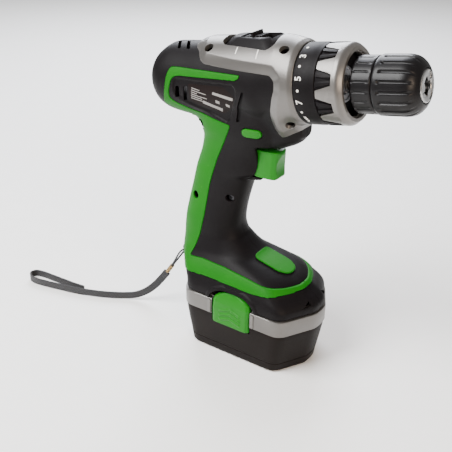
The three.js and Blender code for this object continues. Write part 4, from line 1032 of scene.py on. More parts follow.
    def latch_openings(self) -> list[Piece]:
        """The arched openings over the latches."""
        near, far = 30.1, 60.0
        return [prism("arch", self.arch(0), Axis.Y, low, high)
                for low, high in ((near, far), (-far, -near))]

    @staticmethod
    def level(outline: np.ndarray, z: float) -> Ring:
        """A flat ring at a height."""
        return np.column_stack([outline, np.full(len(outline), z)])

    @staticmethod
    def stadium(name: str, half_length: float, radius: float, reach: float) -> Piece:
        """The direction button's bar, through the tool from side to side."""
        x, z = 2.4, 191.6
        points = []
        for sign, start in ((1, -90), (-1, 90)):
            for turn in np.radians(np.linspace(start, start + 180, 13)):
                points.append((x + sign * (half_length - radius) + radius * math.cos(turn),
                               z + radius * math.sin(turn)))
        return prism(name, points, Axis.Y, -reach, reach)

    def slots(self) -> list[Piece]:
        """The cooling slots of the rear, two on the top and two on the side of each half."""
        cuts = []
        for s in (-1, 1):
            low, high = sorted((s * 12.0, s * 40.0))
            for outline in self.top_vents:
                flat = [(x, s * y) for x, y in outline]
                cuts.append(prism("top_vent", rounded(flat, 1.2), Axis.Z, 20, 40, barrel=True))
            for outline in self.side_vents:
                cuts.append(prism("side_vent", rounded(outline, 1.2), Axis.Y, low, high,
                                  barrel=True))
        return cuts

    @staticmethod
    def printed(name: str, whole: Piece, spots: np.ndarray, out: np.ndarray, region: Piece,
                finish: Finish) -> None:
        """A thin print on a surface.

        Args:
            name: the print's name.
            whole: the casing's outside.
            spots: its vertex places in mm where the print lies on a raised or sunk surface.
            out: its vertex normals.
            region: the solid that bounds the print.
            finish: the print's finish.
        """
        over, under = spots + out * Casing.ink_over, spots - out * Casing.ink_under
        ink = carve(place(duplicate(whole, name), over), Cut.KEEP, region)
        carve(ink, Cut.TAKE, place(duplicate(whole, "print_floor"), under))
        finished(ink, finish, "housing")

    def print_marks(self, whole: Piece, points: np.ndarray, out: np.ndarray,
                    lift: np.ndarray) -> None:
        """Prints the tick marks on the covers and the blank bars of the rating plate.

        Args:
            whole: the casing's outside.
            points: its vertex places in mm.
            out: its vertex normals.
            lift: how far the covers stand out over each vertex in mm.
        """
        marks, *others = [box("mark", low, high, barrel=True) for low, high in self.ticks]
        carve(marks, Cut.ADD, *others)
        self.printed("tick_marks", whole, points + out * lift[:, None], out, marks, INK)
        back = prism("plate", rounded(self.plate, 2), Axis.Y, -FAR, 0, barrel=True)
        self.printed("rating_plate_film", whole, points - out * 0.03, out, back, PLATE_FILM)
        bars = list(self.plate_bars)
        for i, length in enumerate(self.plate_lines):
            x, z = (start + step * i for start, step in zip(self.line_start, self.line_step))
            fall, high = self.line_fall * length, self.line_height
            bars.append([(x, z), (x + length, z - fall), (x + length - 0.2, z - fall - high),
                         (x - 0.2, z - high)])
        blank, *rest = [prism("bar", bar, Axis.Y, -FAR, 0, barrel=True) for bar in bars]
        carve(blank, Cut.ADD, *rest)
        self.printed("rating_plate_bars", whole, points + out * 0.05, out, blank, GREY_INK)

    def build(self) -> None:
        """Makes the black shells, the soft grips, the silver covers and the foot pad."""
        whole = self.outside()
        points, out = places(whole), normals(whole)
        floor = self.form(self.layer_floor, voxel=1.2)
        black = self.black_shell(whole, floor)
        green = self.soft_grip(whole, points, out, floor)
        silver = self.silver_cover(whole, points, out)
        self.foot_pad(whole, points, out)
        for name in ("right", "left"):
            for source, label, finish, slot, node in (
                    (black, "housing_shell", BLACK_ABS, "black_abs", "housing"),
                    (green, "soft_grip", GREEN_TPE, "green_tpe", "grip"),
                    (silver, "gear_cover_skin", SILVER_PAINT, "silver_painted_abs",
                     "gear_cover")):
                half = duplicate(source, f"{name}_{label}")
                carve(half, Cut.KEEP, side_box("half", name == "right"))
                biggest(half)
                if source is green:
                    relax(remesh(half, 0.5), 2)
                finished(half, finish, "housing", [f"{name}_{node}"])
        discard(whole, black, green, silver)

    def outside(self) -> Piece:
        """The casing's whole outside, with the trigger's room, the lip over it and the panels."""
        whole = self.form(voxel=self.voxel)
        carve(whole, Cut.TAKE, prism("front_room", self.front_room, Axis.Y, -40, 40))
        carve(whole, Cut.ADD, prism("lip", self.lip, Axis.Y, -8.6, 8.6))
        return self.shaped(relax(remesh(whole, self.voxel), 2))

    def black_shell(self, whole: Piece, floor: Piece) -> Piece:
        """Both black shells in one, hollow, with a groove where the soft grip lies."""
        hollow = self.form(-self.wall, 6, voxel=1.6)
        groove = prism("groove", grown(self.grip_outline(), 0.35), Axis.Y, -FAR, FAR)
        carve(groove, Cut.ADD, prism("slit", rounded(self.slit, 0.9), Axis.Y, -FAR, FAR,
                                     barrel=True))
        carve(groove, Cut.TAKE, duplicate(floor, "floor_copy"))
        return carve(duplicate(whole, "casing_black"), Cut.TAKE, groove, hollow,
                     *self.openings(), *self.slots(), *Screws().pockets())

    def soft_grip(self, whole: Piece, points: np.ndarray, out: np.ndarray, floor: Piece) -> Piece:
        """The green overmould of both sides.

        Args:
            whole: the casing's outside.
            points: its vertex places in mm.
            out: its vertex normals.
            floor: the solid under the overmould, which is used up.

        Returns:
            The overmould in one piece.
        """
        green = place(duplicate(whole, "grip_skin"), points + out * self.grip_rise)
        carve(green, Cut.KEEP, prism("grip_region", self.grip_outline(), Axis.Y, -FAR, FAR))
        return carve(green, Cut.TAKE, floor, *self.latch_openings(), *Screws().pockets())

    def silver_cover(self, whole: Piece, points: np.ndarray, out: np.ndarray) -> Piece:
        """The silver covers of both sides, which rise gently from their rear edges."""
        local = BARREL.from_tool(points)
        ramp = inside_depth(self.cover, local[:, [0, 2]])
        crown = np.clip(local[:, 2] / BARREL.radius, 0, 1) ** 2
        crown = crown * np.clip((38 - local[:, 0]) / 16, 0, 1)
        lift = 0.3 + (2.1 + 1.3 * crown) * np.clip(ramp / 5.6, 0, 1)
        silver = place(duplicate(whole, "cover_skin"), points + out * lift[:, None])
        under = place(duplicate(whole, "cover_floor"), points + out * 0.1)
        self.print_marks(whole, points, out, lift)
        region = prism("cover_region", rounded(self.cover, 4), Axis.Y, -FAR, FAR, barrel=True)
        carve(silver, Cut.KEEP, region)
        front = box("front", (39.5, -FAR, -FAR), (90, FAR, FAR), barrel=True)
        return carve(silver, Cut.TAKE, under, front, self.bezel_room(), *Screws().pockets())

    def foot_pad(self, whole: Piece, points: np.ndarray, out: np.ndarray) -> None:
        """The soft pad on the foot, over the front of the pack."""
        pad = place(duplicate(whole, "foot_pad_soft"), points + out * self.pad_rise)
        carve(pad, Cut.KEEP, prism("pad_region", rounded(self.pad, 2), Axis.Z, 66, 110))
        carve(pad, Cut.TAKE, place(duplicate(whole, "pad_floor"), points + out * 0.25))
        soft = relax(remesh(pad, 0.4), 3)
        finished(biggest(soft), GREEN_TPE, "housing", ["foot_pad"])


def peg(name: str, radius: float, start: Sequence[float], end: Sequence[float],
        count: int = 28) -> Piece:
    """A round rod.

    Args:
        name: the object's name.
        radius: its radius in mm.
        start: the middle of one end in the tool's frame, in mm.
        end: the middle of the other end.
        count: points around.

    Returns:
        The solid.
    """
    a, b = np.array(start, float), np.array(end, float)
    way = (b - a) / np.linalg.norm(b - a)
    side = np.cross(way, (0, 0, 1) if abs(way[2]) < 0.9 else (0, 1, 0))
    side /= np.linalg.norm(side)
    over = np.cross(way, side)
    turn = np.linspace(0, 2 * math.pi, count, endpoint=False)
    ring = radius * (np.outer(np.cos(turn), side) + np.outer(np.sin(turn), over))
    return loft(name, [a + ring, b + ring])


def wrapped(obj: Piece, angle: float, step: float = 1.2) -> Piece:
    """Rolls a flat shape onto the barrel's axis.

    Args:
        obj: the shape, its X along the barrel, its Y around it and its Z the radius, in mm.
        angle: where its middle goes, in degrees from the top towards the tool's right.
        step: the longest straight stretch around, in mm.

    Returns:
        The shape in the tool's frame.
    """
    work = bmesh.new()
    work.from_mesh(obj.data)
    low = min(v.co.y for v in work.verts)
    high = max(v.co.y for v in work.verts)
    for at in np.arange(low + step * MM, high, step * MM):
        bmesh.ops.bisect_plane(work, geom=work.verts[:] + work.edges[:] + work.faces[:],
                               plane_co=(0, at, 0), plane_no=(0, 1, 0))
    work.to_mesh(obj.data)
    work.free()
    p = places(obj)
    turn = math.radians(angle) + p[:, 1] / TorqueCollar.radius
    rolled = np.stack([p[:, 0], -p[:, 2] * np.sin(turn), p[:, 2] * np.cos(turn)], -1)
    return place(obj, BARREL.to_tool(rolled))


@dataclass
class Screws:
    """The screws that clamp the halves, and those of the gear covers, deep in their pockets."""

    head: float = 2.9
    clamps: tuple = (("web_screw", -46.2, -11.6, 188.6), ("back_screw", -50, -13.4, 126.9),
                     ("handle_screw", -18.8, -14.6, 131.8))
    sunk: float = 2.6
    covers: tuple = (("cover_rear_screw", -33.5, 30), ("cover_front_screw", 29.8, 32),
                     ("cover_lower_screw", 29.5, 146))
    cover_radius: float = 26.0
    clearance: float = 0.25
    cover_clearance: float = 0.7
    below: float = 1.9
    profile: tuple[Point, ...] = ((-2.8, 1.45), (-1.7, 1.5), (-1.6, 2.75), (-0.9, 2.9),
                                  (-0.25, 2.6), (0, 1.9))

    def axes(self) -> list[tuple[str, np.ndarray, np.ndarray]]:
        """Each screw's name, the middle of its head's face and the way out, in the tool's frame."""
        found = [(name, np.array([x, y + self.sunk, z], float), np.array([0.0, -1.0, 0.0]))
                 for name, x, y, z in self.clamps]
        for name, x, angle in self.covers:
            out = np.array([0, -math.sin(math.radians(angle)), math.cos(math.radians(angle))])
            ends = BARREL.to_tool(np.array([[x, 0, 0] + self.cover_radius * out,
                                            [x, 0, 0] + (self.cover_radius + 1) * out]))
            found.append((name, ends[0], ends[1] - ends[0]))
        return found

    def pockets(self) -> list[Piece]:
        """The pockets in the casing, one for each head."""
        room = {name: self.clearance for name, *_ in self.clamps}
        return [peg("pocket", self.head + room.get(name, self.cover_clearance),
                    at - out * self.below, at + out * 30) for name, at, out in self.axes()]

    def build(self) -> None:
        """Makes each head with its cross recess and its shank."""
        for name, at, out in self.axes():
            side = np.cross(out, (1, 0, 0))
            side /= np.linalg.norm(side)
            over = np.cross(out, side)
            turn = np.linspace(0, 2 * math.pi, 32, endpoint=False)
            ring = np.outer(np.cos(turn), side) + np.outer(np.sin(turn), over)
            screw = loft(name + "_turned", [at + out * x + ring * r for x, r in self.profile])
            for along, across in ((side, over), (over, side)):
                corners = [at + along * a * 1.6 + across * b * 0.35 + out * c
                           for c in (-1.1, 0.4) for a, b in ((-1, -1), (1, -1), (1, 1), (-1, 1))]
                faces = [[0, 1, 2, 3], [4, 5, 6, 7], [0, 1, 5, 4], [1, 2, 6, 5], [2, 3, 7, 6],
                         [3, 0, 4, 7]]
                carve(screw, Cut.TAKE, new_object("recess", np.array(corners), faces))
            finished(screw, DARK_STEEL_AND_VENT_SHADE, "housing", [name])


@dataclass
class SpeedControl:
    """The two-speed slider in its raised bezel on top of the barrel."""

    rear: float = -25.0
    front: float = 21.0
    half: float = 18.6
    walls: tuple[Point, ...] = ((0, 25.4), (0, 31.2), (0.5, 32.0), (5.6, 35.0), (6.8, 35.5))
    ridges: tuple[float, ...] = (34.6, 34.6, 37.2, 34.6, 34.6)

    def outline(self, grow: float) -> list[Point]:
        """The bezel's (x, y) outline in the barrel's frame, grown by `grow` mm."""
        w, r, f = self.half + grow, self.rear - grow, self.front + grow
        n = w - 4.4
        return rounded([(r + 4, -n), (f - 5, -w), (f, 4 - w), (f, w - 4), (f - 5, w), (r + 4, n),
                        (r, n - 4), (r, 4 - n)], 2.5)

    def build(self) -> None:
        """Makes the bezel, with its sloping sides and its well, and the ridged slider."""
        rings = []
        for inset, radius in self.walls:
            flat = np.array(self.outline(-inset))
            level = np.sqrt(np.maximum(radius ** 2 - flat[:, 1] ** 2, 1))
            level -= np.clip((-flat[:, 0] - 14) / 9, 0, 1) ** 2 * 1.6 * (radius > 30)
            level -= np.clip((flat[:, 0] - 8) / 12, 0, 1) ** 2 * 1.2 * (radius > 30)
            rings.append(np.column_stack([flat, level]))
        bezel = loft("speed_bezel_body", rings, barrel=True)
        carve(bezel, Cut.TAKE, box("track", (-11, -8.4, 28.6), (15.8, 8.4, 60), barrel=True),
              turned("gears", [(-60, 0.0), (-60, 25.2), (60, 25.2), (60, 0.0)]),
              box("slot", (-6, -3.6, 10), (11, 3.6, 60), barrel=True))
        finished(bevel(bezel, 0.5), BLACK_ABS, "housing", ["speed_bezel"])
        rows = [(-9, 28.8), (-9, 33)]
        for i, peak in enumerate(self.ridges):
            x = -8.2 + i * 2.75
            rows += [(x, 33), (x + 0.5, peak), (x + 1.6, peak), (x + 2.1, 33)]
        rows += [(5, 33), (5, 28.8)]
        slider = prism("speed_slider_knob", rows, Axis.Y, -7, 7, barrel=True)
        carve(slider, Cut.ADD, box("stem", (-4, -2.6, 25.9), (0, 2.6, 30), barrel=True))
        finished(bevel(slider, 0.3), BLACK_ABS, "speed_slider", ["speed_slider"])


@dataclass
class TorqueCollar:
    """The torque collar: a numbered black ring with ribbed lands, and a toothed silver crown."""

    radius: float = 28.6
    teeth: int = 9
    phase: float = 11.0
    marks: tuple = ((19.8, "dot"), (37.4, "3"), (53.3, "dot"), (70.1, "5"), (86.5, "dot"),
                    (103.0, "7"), (119.0, "dot"))
    mark_x: float = 44.6
    ring: tuple[Point, ...] = (
        (40.1, 24.8), (40.1, 27.9), (40.7, 28.6), (52.6, 28.6), (53.4, 28.3), (55.9, 28.3),
        (56.2, 28.0), (56.2, 24.8))
    floor: tuple[Point, ...] = ((55.0, 25.6), (55.0, 26.5), (68.9, 26.5), (68.9, 25.6))
    rim: tuple[Point, ...] = (
        (68.6, 24.8), (68.6, 28.3), (71.2, 28.3), (72.4, 28.0), (73.3, 27.4), (75.3, 25.9),
        (75.8, 25.2), (75.8, 23.0), (75.2, 22.6), (73.2, 22.6), (73.2, 21.8), (71, 21.8),
        (71, 24.8))
    sleeve: tuple[Point, ...] = ((57, 24.8), (57, 25.5), (70, 25.5), (70, 24.8))
    tooth: tuple[Point, ...] = ((57.1, -2.7), (57.1, 2.7), (69.2, 6.3), (69.2, -6.3))
    drill_sign: tuple[Point, ...] = (
        (43.4, -3.2), (44.4, -2.4), (43.6, -1.4), (45, -0.6), (43.8, 0.4), (45, 1.2),
        (44.2, 3.4), (45.8, 3.4), (46.4, 1.2), (45.4, 0.2), (46.4, -0.8), (45.6, -1.8),
        (45.8, -3.2))
    sign_angle: float = 134.6

    def land(self) -> Piece:
        """One black land between two teeth, with its two ribs, lying flat."""
        body = prism("land", [(55.5, -6.9), (69, -3.4), (69, 3.4), (55.5, 6.9)], Axis.Z,
                     25.8, 27.3)
        ribs = [prism("rib", [(57, y - 1.4 + lean), (67.4, y - 1.1), (68.6, y), (67.4, y + 1.1),
                              (57, y + 1.4 + lean)], Axis.Z, 26, 28.5)
                for y, lean in ((-1.9, -1.6), (1.9, 1.6))]
        return carve(body, Cut.ADD, *ribs)

    def digit(self, text: str, angle: float) -> Piece:
        """A numeral lying on the ring, its foot towards the chuck."""
        curve = bpy.data.curves.new("digit", "FONT")
        curve.body = text
        curve.align_x, curve.align_y = "CENTER", "CENTER"
        curve.size = 6.6 * MM
        curve.offset = 0.12 * MM
        curve.extrude = 0.12 * MM
        shape = bpy.data.objects.new("digit", curve)
        bpy.context.scene.collection.objects.link(shape)
        mesh = bpy.data.meshes.new_from_object(shape)
        flat = bpy.data.objects.new(f"dial_{text}", mesh)
        bpy.context.scene.collection.objects.link(flat)
        discard(shape)
        p = places(flat)
        place(flat, np.stack([self.mark_x - p[:, 1], -p[:, 0], p[:, 2] + self.radius + 0.02], -1))
        return wrapped(flat, angle, 0.8)

    def build(self) -> None:
        """Makes the ring, the crown and the printed marks."""
        ring = turned("number_ring_body", self.ring, 144)
        lands = [wrapped(self.land(), self.phase + (i + 0.5) * 360 / self.teeth)
                 for i in range(self.teeth)]
        carve(ring, Cut.ADD, turned("land_floor", self.floor, 144), *lands)
        finished(bevel(ring, 0.3), BLACK_ABS, "torque_collar", ["number_ring"])
        crown = turned("crown_rim", self.rim, 144)
        teeth = []
        for i in range(self.teeth):
            tooth = prism("tooth", rounded(self.tooth, 0.7), Axis.Z, 25.9, 28.35)
            teeth.append(wrapped(tooth, self.phase + i * 360 / self.teeth))
        carve(crown, Cut.ADD, turned("crown_sleeve", self.sleeve, 144), *teeth)
        finished(bevel(crown, 0.35), SILVER_PAINT, "torque_collar",
                 ["collar_crown"])
        for number, (angle, kind) in enumerate(self.marks):
            for side in (0, 180):
                if kind == "dot":
                    mark = prism(f"dial_dot_{number}_{side}", circle(0.95, 20,
                                 (self.mark_x - 0.4, 0)), Axis.Z, 28.5, 28.74)
                    wrapped(mark, angle + side, 0.6)
                else:
                    mark = self.digit(kind, angle + side)
                    mark.name = f"dial_{kind}_{side}"
                finished(mark, INK, "torque_collar")
        for side in (0, 180):
            bit = prism(f"dial_drill_sign_{side}", self.drill_sign, Axis.Z, 28.5, 28.74)
            wrapped(bit, self.sign_angle + side, 0.8)
            finished(bit, INK, "torque_collar")


@dataclass
class Chuck:
    """The keyless chuck: steel body, three jaws and two ribbed sleeves."""

    seam: float = 93.2
    front: float = 124.4
    flutes: int = 18
    phase: float = math.radians(11.0)
    sleeve_nose: tuple[Point, ...] = (
        (112, 20.4), (114, 20.2), (116, 19.8), (117.6, 19.2), (119, 18.4), (120.4, 17.3),
        (121.6, 16), (122.6, 14.6), (123.4, 13.2), (123.8, 12.3), (123.8, 11.8), (121.4, 11.8),
        (115, 16), (113.4, 17))
    body: tuple[Point, ...] = (
        (76.5, 0.0), (76.5, 10), (78.5, 15.4), (115.4, 15.4), (121.3, 11.3), (123.2, 11.25),
        (124.1, 10.9), (124.5, 10.3), (124.5, 6.8), (123.9, 6.1), (98, 5.85), (98, 0.0))
    socket: tuple[Point, ...] = ((72, 0.0), (72, 6.04), (96.3, 6.04), (96.3, 0.0))

    def fluted(self, low: float, high: float, depth: float, width: float
               ) -> Callable[[float, float, float], float]:
        """The shape of a sleeve with narrow grooves.

        Args:
            low: where the grooves begin along the barrel in mm.
            high: where they end.
            depth: how deep they are in mm.
            width: half their width in mm.

        Returns:
            A function that gives the radius from x, the plain radius and the angle.
        """
        step = 2 * math.pi / self.flutes

        def radius(x: float, r: float, turn: float) -> float:
            """The radius at a place along the sleeve and an angle around it."""
            if r < 18.2 and x < self.seam + 20:
                return r
            off = abs((turn - self.phase + step / 2) % step - step / 2) * 20.0
            ends = min(max((x - low) / 1.6, 0), max((high - x) / 5.0, 0), 1)
            dip = max(0.0, 1 - (off / width) ** 2)
            return r - depth * math.sqrt(dip) * ends

        return radius

    def build(self) -> None:
        """Makes the sleeves, the body and the jaws."""
        outer = [(self.seam, 19.4), (self.seam + 0.4, 20.1), (self.seam + 1.2, 20.4)]
        outer += [(x, 20.4) for x in np.arange(self.seam + 2, 111.5, 0.9)]
        outer += [*self.sleeve_nose, (self.seam, 17)]
        sleeve = turned("front_sleeve_body", outer, 360,
                        shape=self.fluted(97, 121, 1.25, 1.25))
        finished(sleeve, SLEEVE_NYLON, "front_sleeve", ["front_sleeve"])
        rear = [(77.5, 15.5), (77.5, 18.2), (77.9, 19.2), (78.8, 19.7)]
        rear += [(x, 19.7) for x in np.arange(79.6, 91.6, 0.9)]
        rear += [(92, 19.6), (92.6, 19.1), (92.9, 18.4), (92.9, 15.5)]
        ribs = turned("rear_sleeve_body", rear, 360, shape=self.fluted(79, 91.5, 0.8, 1.0))
        finished(ribs, SLEEVE_NYLON, "output", ["rear_sleeve"])
        body = turned("chuck_body_turned", self.body)
        socket = turned("socket", self.socket)
        ways = [self.leaning("way", 3.35, 35, 12, k) for k in range(3)]
        carve(body, Cut.TAKE, socket, *ways)
        finished(bevel(body, 0.25), STEEL, "output", ["chuck_body"])
        for k in range(3):
            jaw = self.leaning(f"jaw_{k + 1}_ground", 3.0, 24, 1.5, k)
            grip = turned("grip", [(80, 0.0), (80, 3.6), (140, 3.6), (140, 0.0)], 18)
            flush = box("flush", (124.0, -30, -30), (150, 30, 30), barrel=True)
            carve(jaw, Cut.TAKE, grip, flush)
            carve(jaw, Cut.TAKE, *[self.tooth_gap(x) for x in np.arange(112, 123, 1.6)])
            finished(biggest(jaw), STEEL, f"jaw_{k + 1}", [f"jaw_{k + 1}"])

    @staticmethod
    def tooth_gap(x: float) -> Piece:
        """A gap between two of a jaw's gripping teeth."""
        return turned("gap", [(x, 0.0), (x, 3.7), (x + 0.35, 4.05), (x + 0.7, 3.7),
                              (x + 0.7, 0.0)], 24)

    @staticmethod
    def leaning(name: str, radius: float, behind: float, ahead: float, k: int) -> Piece:
        """A rod that leans in towards the axis at the chuck's mouth, one of three."""
        lean, spot = math.radians(12), math.radians(120 * k + 90)
        turn = np.linspace(0, 2 * math.pi, 36, endpoint=False)
        rings = []
        for along in (-behind, ahead):
            x = 124.4 + along * math.cos(lean) + radius * np.cos(turn) * math.sin(lean)
            z = 6.7 - along * math.sin(lean) + radius * np.cos(turn) * math.cos(lean)
            y = radius * np.sin(turn)
            rings.append(np.stack([x, y * math.cos(spot) - z * math.sin(spot),
                                   y * math.sin(spot) + z * math.cos(spot)], -1))
        return loft(name, rings, barrel=True)


@dataclass
class Controls:
    """The trigger with its hollowed face, and the direction button.

    The trigger is the overlap of its outline from the side and its outline from above.
    """

    face: tuple[Point, ...] = (
        (-6, 175.9), (18.2, 175.9), (19.6, 173.4), (18.4, 169.5), (17.6, 165.5), (17.6, 161),
        (18.6, 157), (19.4, 155.4), (17.4, 153.6), (1.4, 153.9), (-6, 156.4))
    half_width: float = 9.3
    half_plan: tuple[Point, ...] = ((-6.2, 9.3), (9, 9.3), (14.2, 8.7), (17.2, 7.2), (18.4, 5.6),
                                    (18.9, 3.6), (19.6, 1.6), (20.4, 0.4))
    arrow_low: Point = (-2.3, 191.25)
    arrow_high: Point = (7.1, 191.95)
    arrow_y: float = 19.4

    def build(self) -> None:
        """Makes both."""
        trigger = prism("trigger_lever", rounded(self.face, 1.6), Axis.Y, -self.half_width,
                        self.half_width)
        plan = [*self.half_plan, *((x, -y) for x, y in reversed(self.half_plan))]
        carve(trigger, Cut.KEEP, prism("trigger_plan", plan, Axis.Z, 140, 190))
        soft = relax(remesh(trigger, 0.4), 5)
        finished(soft, GREEN_ABS, "trigger", ["trigger"])
        button = Casing.stadium("direction_bar", 7.3, 3.3, 22.6)
        waist = box("waist", (-20, -12, 180), (20, 12, 190.4))
        carve(button, Cut.KEEP, Casing().form(1.1, voxel=1.2))
        marks = [box("mark", (self.arrow_low[0], s * self.arrow_y - 0.9, self.arrow_low[1]),
                     (self.arrow_high[0], s * self.arrow_y + 0.9, self.arrow_high[1]))
                 for s in (-1, 1)]
        carve(button, Cut.TAKE, waist, *marks)
        finished(relax(remesh(button, 0.35), 2), GREEN_ABS, "direction_button",
                 ["direction_button"])


@dataclass
class BatteryPack:
    """The clip-in battery pack: drafted base, silver lid with its tower, and two latches."""

    band_top: float = 51.0
    tower_x: float = -38.7
    tower_top: float = 106.4
    # Rings of base and lid: height, scale and inset of the pack's outline.
    base_rings: tuple = (
        (0, 0.89, 2.0), (0.5, 0.89, 0.9), (1.6, 0.89, 0.1), (3, 0.892, 0), (7.6, 0.904, 0),
        (8.0, 0.904, 0.35), (8.6, 0.906, 0.35), (9.0, 0.908, 0), (20, 0.942, 0),
        (32, 0.975, 0), (35.4, 0.984, 0.1), (36.6, 0.985, 0.3), (37, 0.985, 0.9))
    base_room: tuple = ((2.4, 0.89, 1.6), (42.3, 1, 1.6))
    lid_rings: tuple = (
        (37.3, 1, 0.7), (37.5, 1, 0.2), (38.1, 1, 0), (49.9, 1, 0), (50.7, 1, 0.25),
        (51, 1, 0.9), (51.02, 1, 4.9), (51.5, 1, 5.1), (52.3, 1, 5.3), (52.7, 1, 6))
    # Levels of a latch: height, half width and how far out its face is.
    latch_rows: tuple = (
        (31.2, 16.6, 38.5), (32, 17.4, 39.2), (45, 17.6, 39.3), (51, 17.6, 38.6),
        (54.5, 16.6, 37.6), (57.4, 13.4, 36.6), (59.4, 9, 35.7), (60.5, 4, 35.1))
    latch_back: float = 33.4
    band_post: Point = (20.4, 37.55)

    @staticmethod
    def rings(rows: Sequence[tuple[float, float, float]]) -> list[Ring]:
        """Rings of the pack's outline from rows of height, scale and inset."""
        return [Casing.level(PLAN.even(144, scale, inset), z) for z, scale, inset in rows]

    @staticmethod
    def latch_room(grow: float) -> list[Piece]:
        """The room that the latches need in base and lid."""
        w, near = 18 + grow, 30.9 - grow
        return [box("room", (-w, near, 31 - grow), (w, 60, 90)),
                box("room", (-w, -60, 31 - grow), (w, -near, 90))]

    def base(self) -> None:
        """The black base, drafted inwards to its foot, with a faint line around its bottom."""
        out = loft("pack_base_shell", self.rings(self.base_rings))
        room = loft("inside", self.rings(self.base_room))
        carve(out, Cut.TAKE, room, *self.latch_room(0.3))
        posts = [box("post", (9, low, 2), (13, high, 44))
                 for low, high in ((25.2, 26.9), (-26.9, -25.2))]
        carve(out, Cut.ADD, *posts)
        finished(out, PACK_ABS, "battery", ["pack_base"])

    def lid(self) -> None:
        """The silver lid: band, stepped deck, tower, rounded hump and latch ribs."""
        top = self.band_top - 1.6
        out = loft("pack_lid_shell", self.rings(self.lid_rings))
        inner = loft("inside", self.rings([(32, 1, 1.6), (top, 1, 2.0)]))
        carve(out, Cut.TAKE, inner)
        x = self.tower_x
        tower = self.post_z("tower", 15.8, x, top, self.tower_top, 1.2)
        chamfers = [prism("chamfer", [(x + 10.5, s * 16.5), (x + 20, s * 16.5), (x + 20, s * 3),
                                      (x + 15.2, s * 3.4), (x + 10.5, s * 11)], Axis.Z, 52.7, 110)
                    for s in (1, -1)]
        carve(tower, Cut.TAKE, *chamfers)
        reach = 42.5 / 2 + 2 + 1.6
        hump = peg("hump", 13.05, (-15.4, -reach, 58.4), (-15.4, reach, 58.4), 64)
        saddle = box("saddle", (x, -reach, top + 0.2), (-15.4, reach, 71.45))
        carve(hump, Cut.ADD, saddle)
        carve(hump, Cut.KEEP, box("above", (-80, -60, top + 0.1), (80, 60, 90)))
        bevel(hump, 1.6, 4, 60)
        ribs = [box("rib", (-12.6, 24.2, top + 0.2), (12.6, 28.6, 62.7)),
                box("rib", (-12.6, -28.6, top + 0.2), (12.6, -24.2, 62.7))]
        carve(out, Cut.ADD, tower, hump, *[bevel(r, 0.7, 3) for r in ribs])
        slots = [box("slot", (x + 5.6, s * 7.4 - 3.2, 92.4), (x + 19.6, s * 7.4 + 3.2, 108))
                 for s in (1, -1)]
        well = self.post_z("well", 13.8, x, 2.4, 104.4, 0.5)
        walls = [prism("wall", [(x + 7.5, s * 16.5), (x + 20, s * 16.5), (x + 20, s * 1.5),
                                (x + 12.4, s * 2), (x + 7.5, s * 9.4)], Axis.Z, 49.7, 110)
                 for s in (1, -1)]
        walls += [box("wall", (x + 3.6, s * 7.4 - 4.6, 90.4), (x + 19.6, s * 7.4 + 4.6, 108))
                  for s in (1, -1)]
        carve(well, Cut.TAKE, *walls)
        cell = peg("cell_room", 11.45, (-15.4, 1.6 - reach, 58.4), (-15.4, reach - 1.6, 58.4), 48)
        way = box("way", (-23.4, 1.6 - reach, 37.3), (-7.4, reach - 1.6, 58.4))
        carve(out, Cut.TAKE, *slots, well, cell, way, *self.latch_room(0.3))
        post_x, post_y = self.band_post
        posts = [box("band_post", (sx * post_x - 1.5, sy * post_y - 1.05, 37.9),
                     (sx * post_x + 1.5, sy * post_y + 1.05, 50.4))
                 for sx, sy in ((1, 1), (-1, 1), (1, -1), (-1, -1))]
        carve(out, Cut.ADD, *[bevel(p, 0.4) for p in posts])
        finished(biggest(out), SILVER_PAINT, "battery", ["pack_lid"])

    @staticmethod
    def post_z(name: str, radius: float, x: float, low: float, high: float,
               edge: float) -> Piece:
        """An upright round post with a rounded top edge."""
        rows = [(low, radius), (high - edge, radius), (high - edge * 0.6, radius - edge * 0.1),
                (high - edge * 0.2, radius - edge * 0.45), (high, radius - edge)]
        return loft(name, [Casing.level(np.array(circle(r, 80, (x, 0))), z) for z, r in rows])

    def latch(self, side: int) -> None:
        """A domed green latch with three raised chevrons."""
        rows = []
        for z, half, out in self.latch_rows:
            front = [(half, self.latch_back), (half, out - 2.4), (half - 0.5, out - 1.3),
                     (half - 2.6, out)]
            plan = front + [(-a, b) for a, b in reversed(front)]
            rows.append(np.array([(a, side * b, z) for a, b in plan]))
        body = loft("latch_body", rows)
        ridges = []
        for i in range(3):
            z = 35.4 + i * 4.2
            vee = [(-9.4, z), (0, z + 3.2), (9.4, z), (9.4, z + 1.5), (0, z + 4.7),
                   (-9.4, z + 1.5)]
            low, high = sorted((side * 38.2, side * 40.0))
            ridges.append(prism("ridge", vee, Axis.Y, low, high))
        carve(body, Cut.ADD, *ridges)
        name = "left" if side > 0 else "right"
        body.name = f"{name}_latch_body"
        soft = relax(remesh(body, 0.42), 2)
        finished(soft, GREEN_ABS, f"{name}_latch", [f"{name}_latch"])

    def build(self) -> None:
        """Makes the base, the lid and both latches."""
        self.base()
        self.lid()
        self.latch(-1)
        self.latch(1)


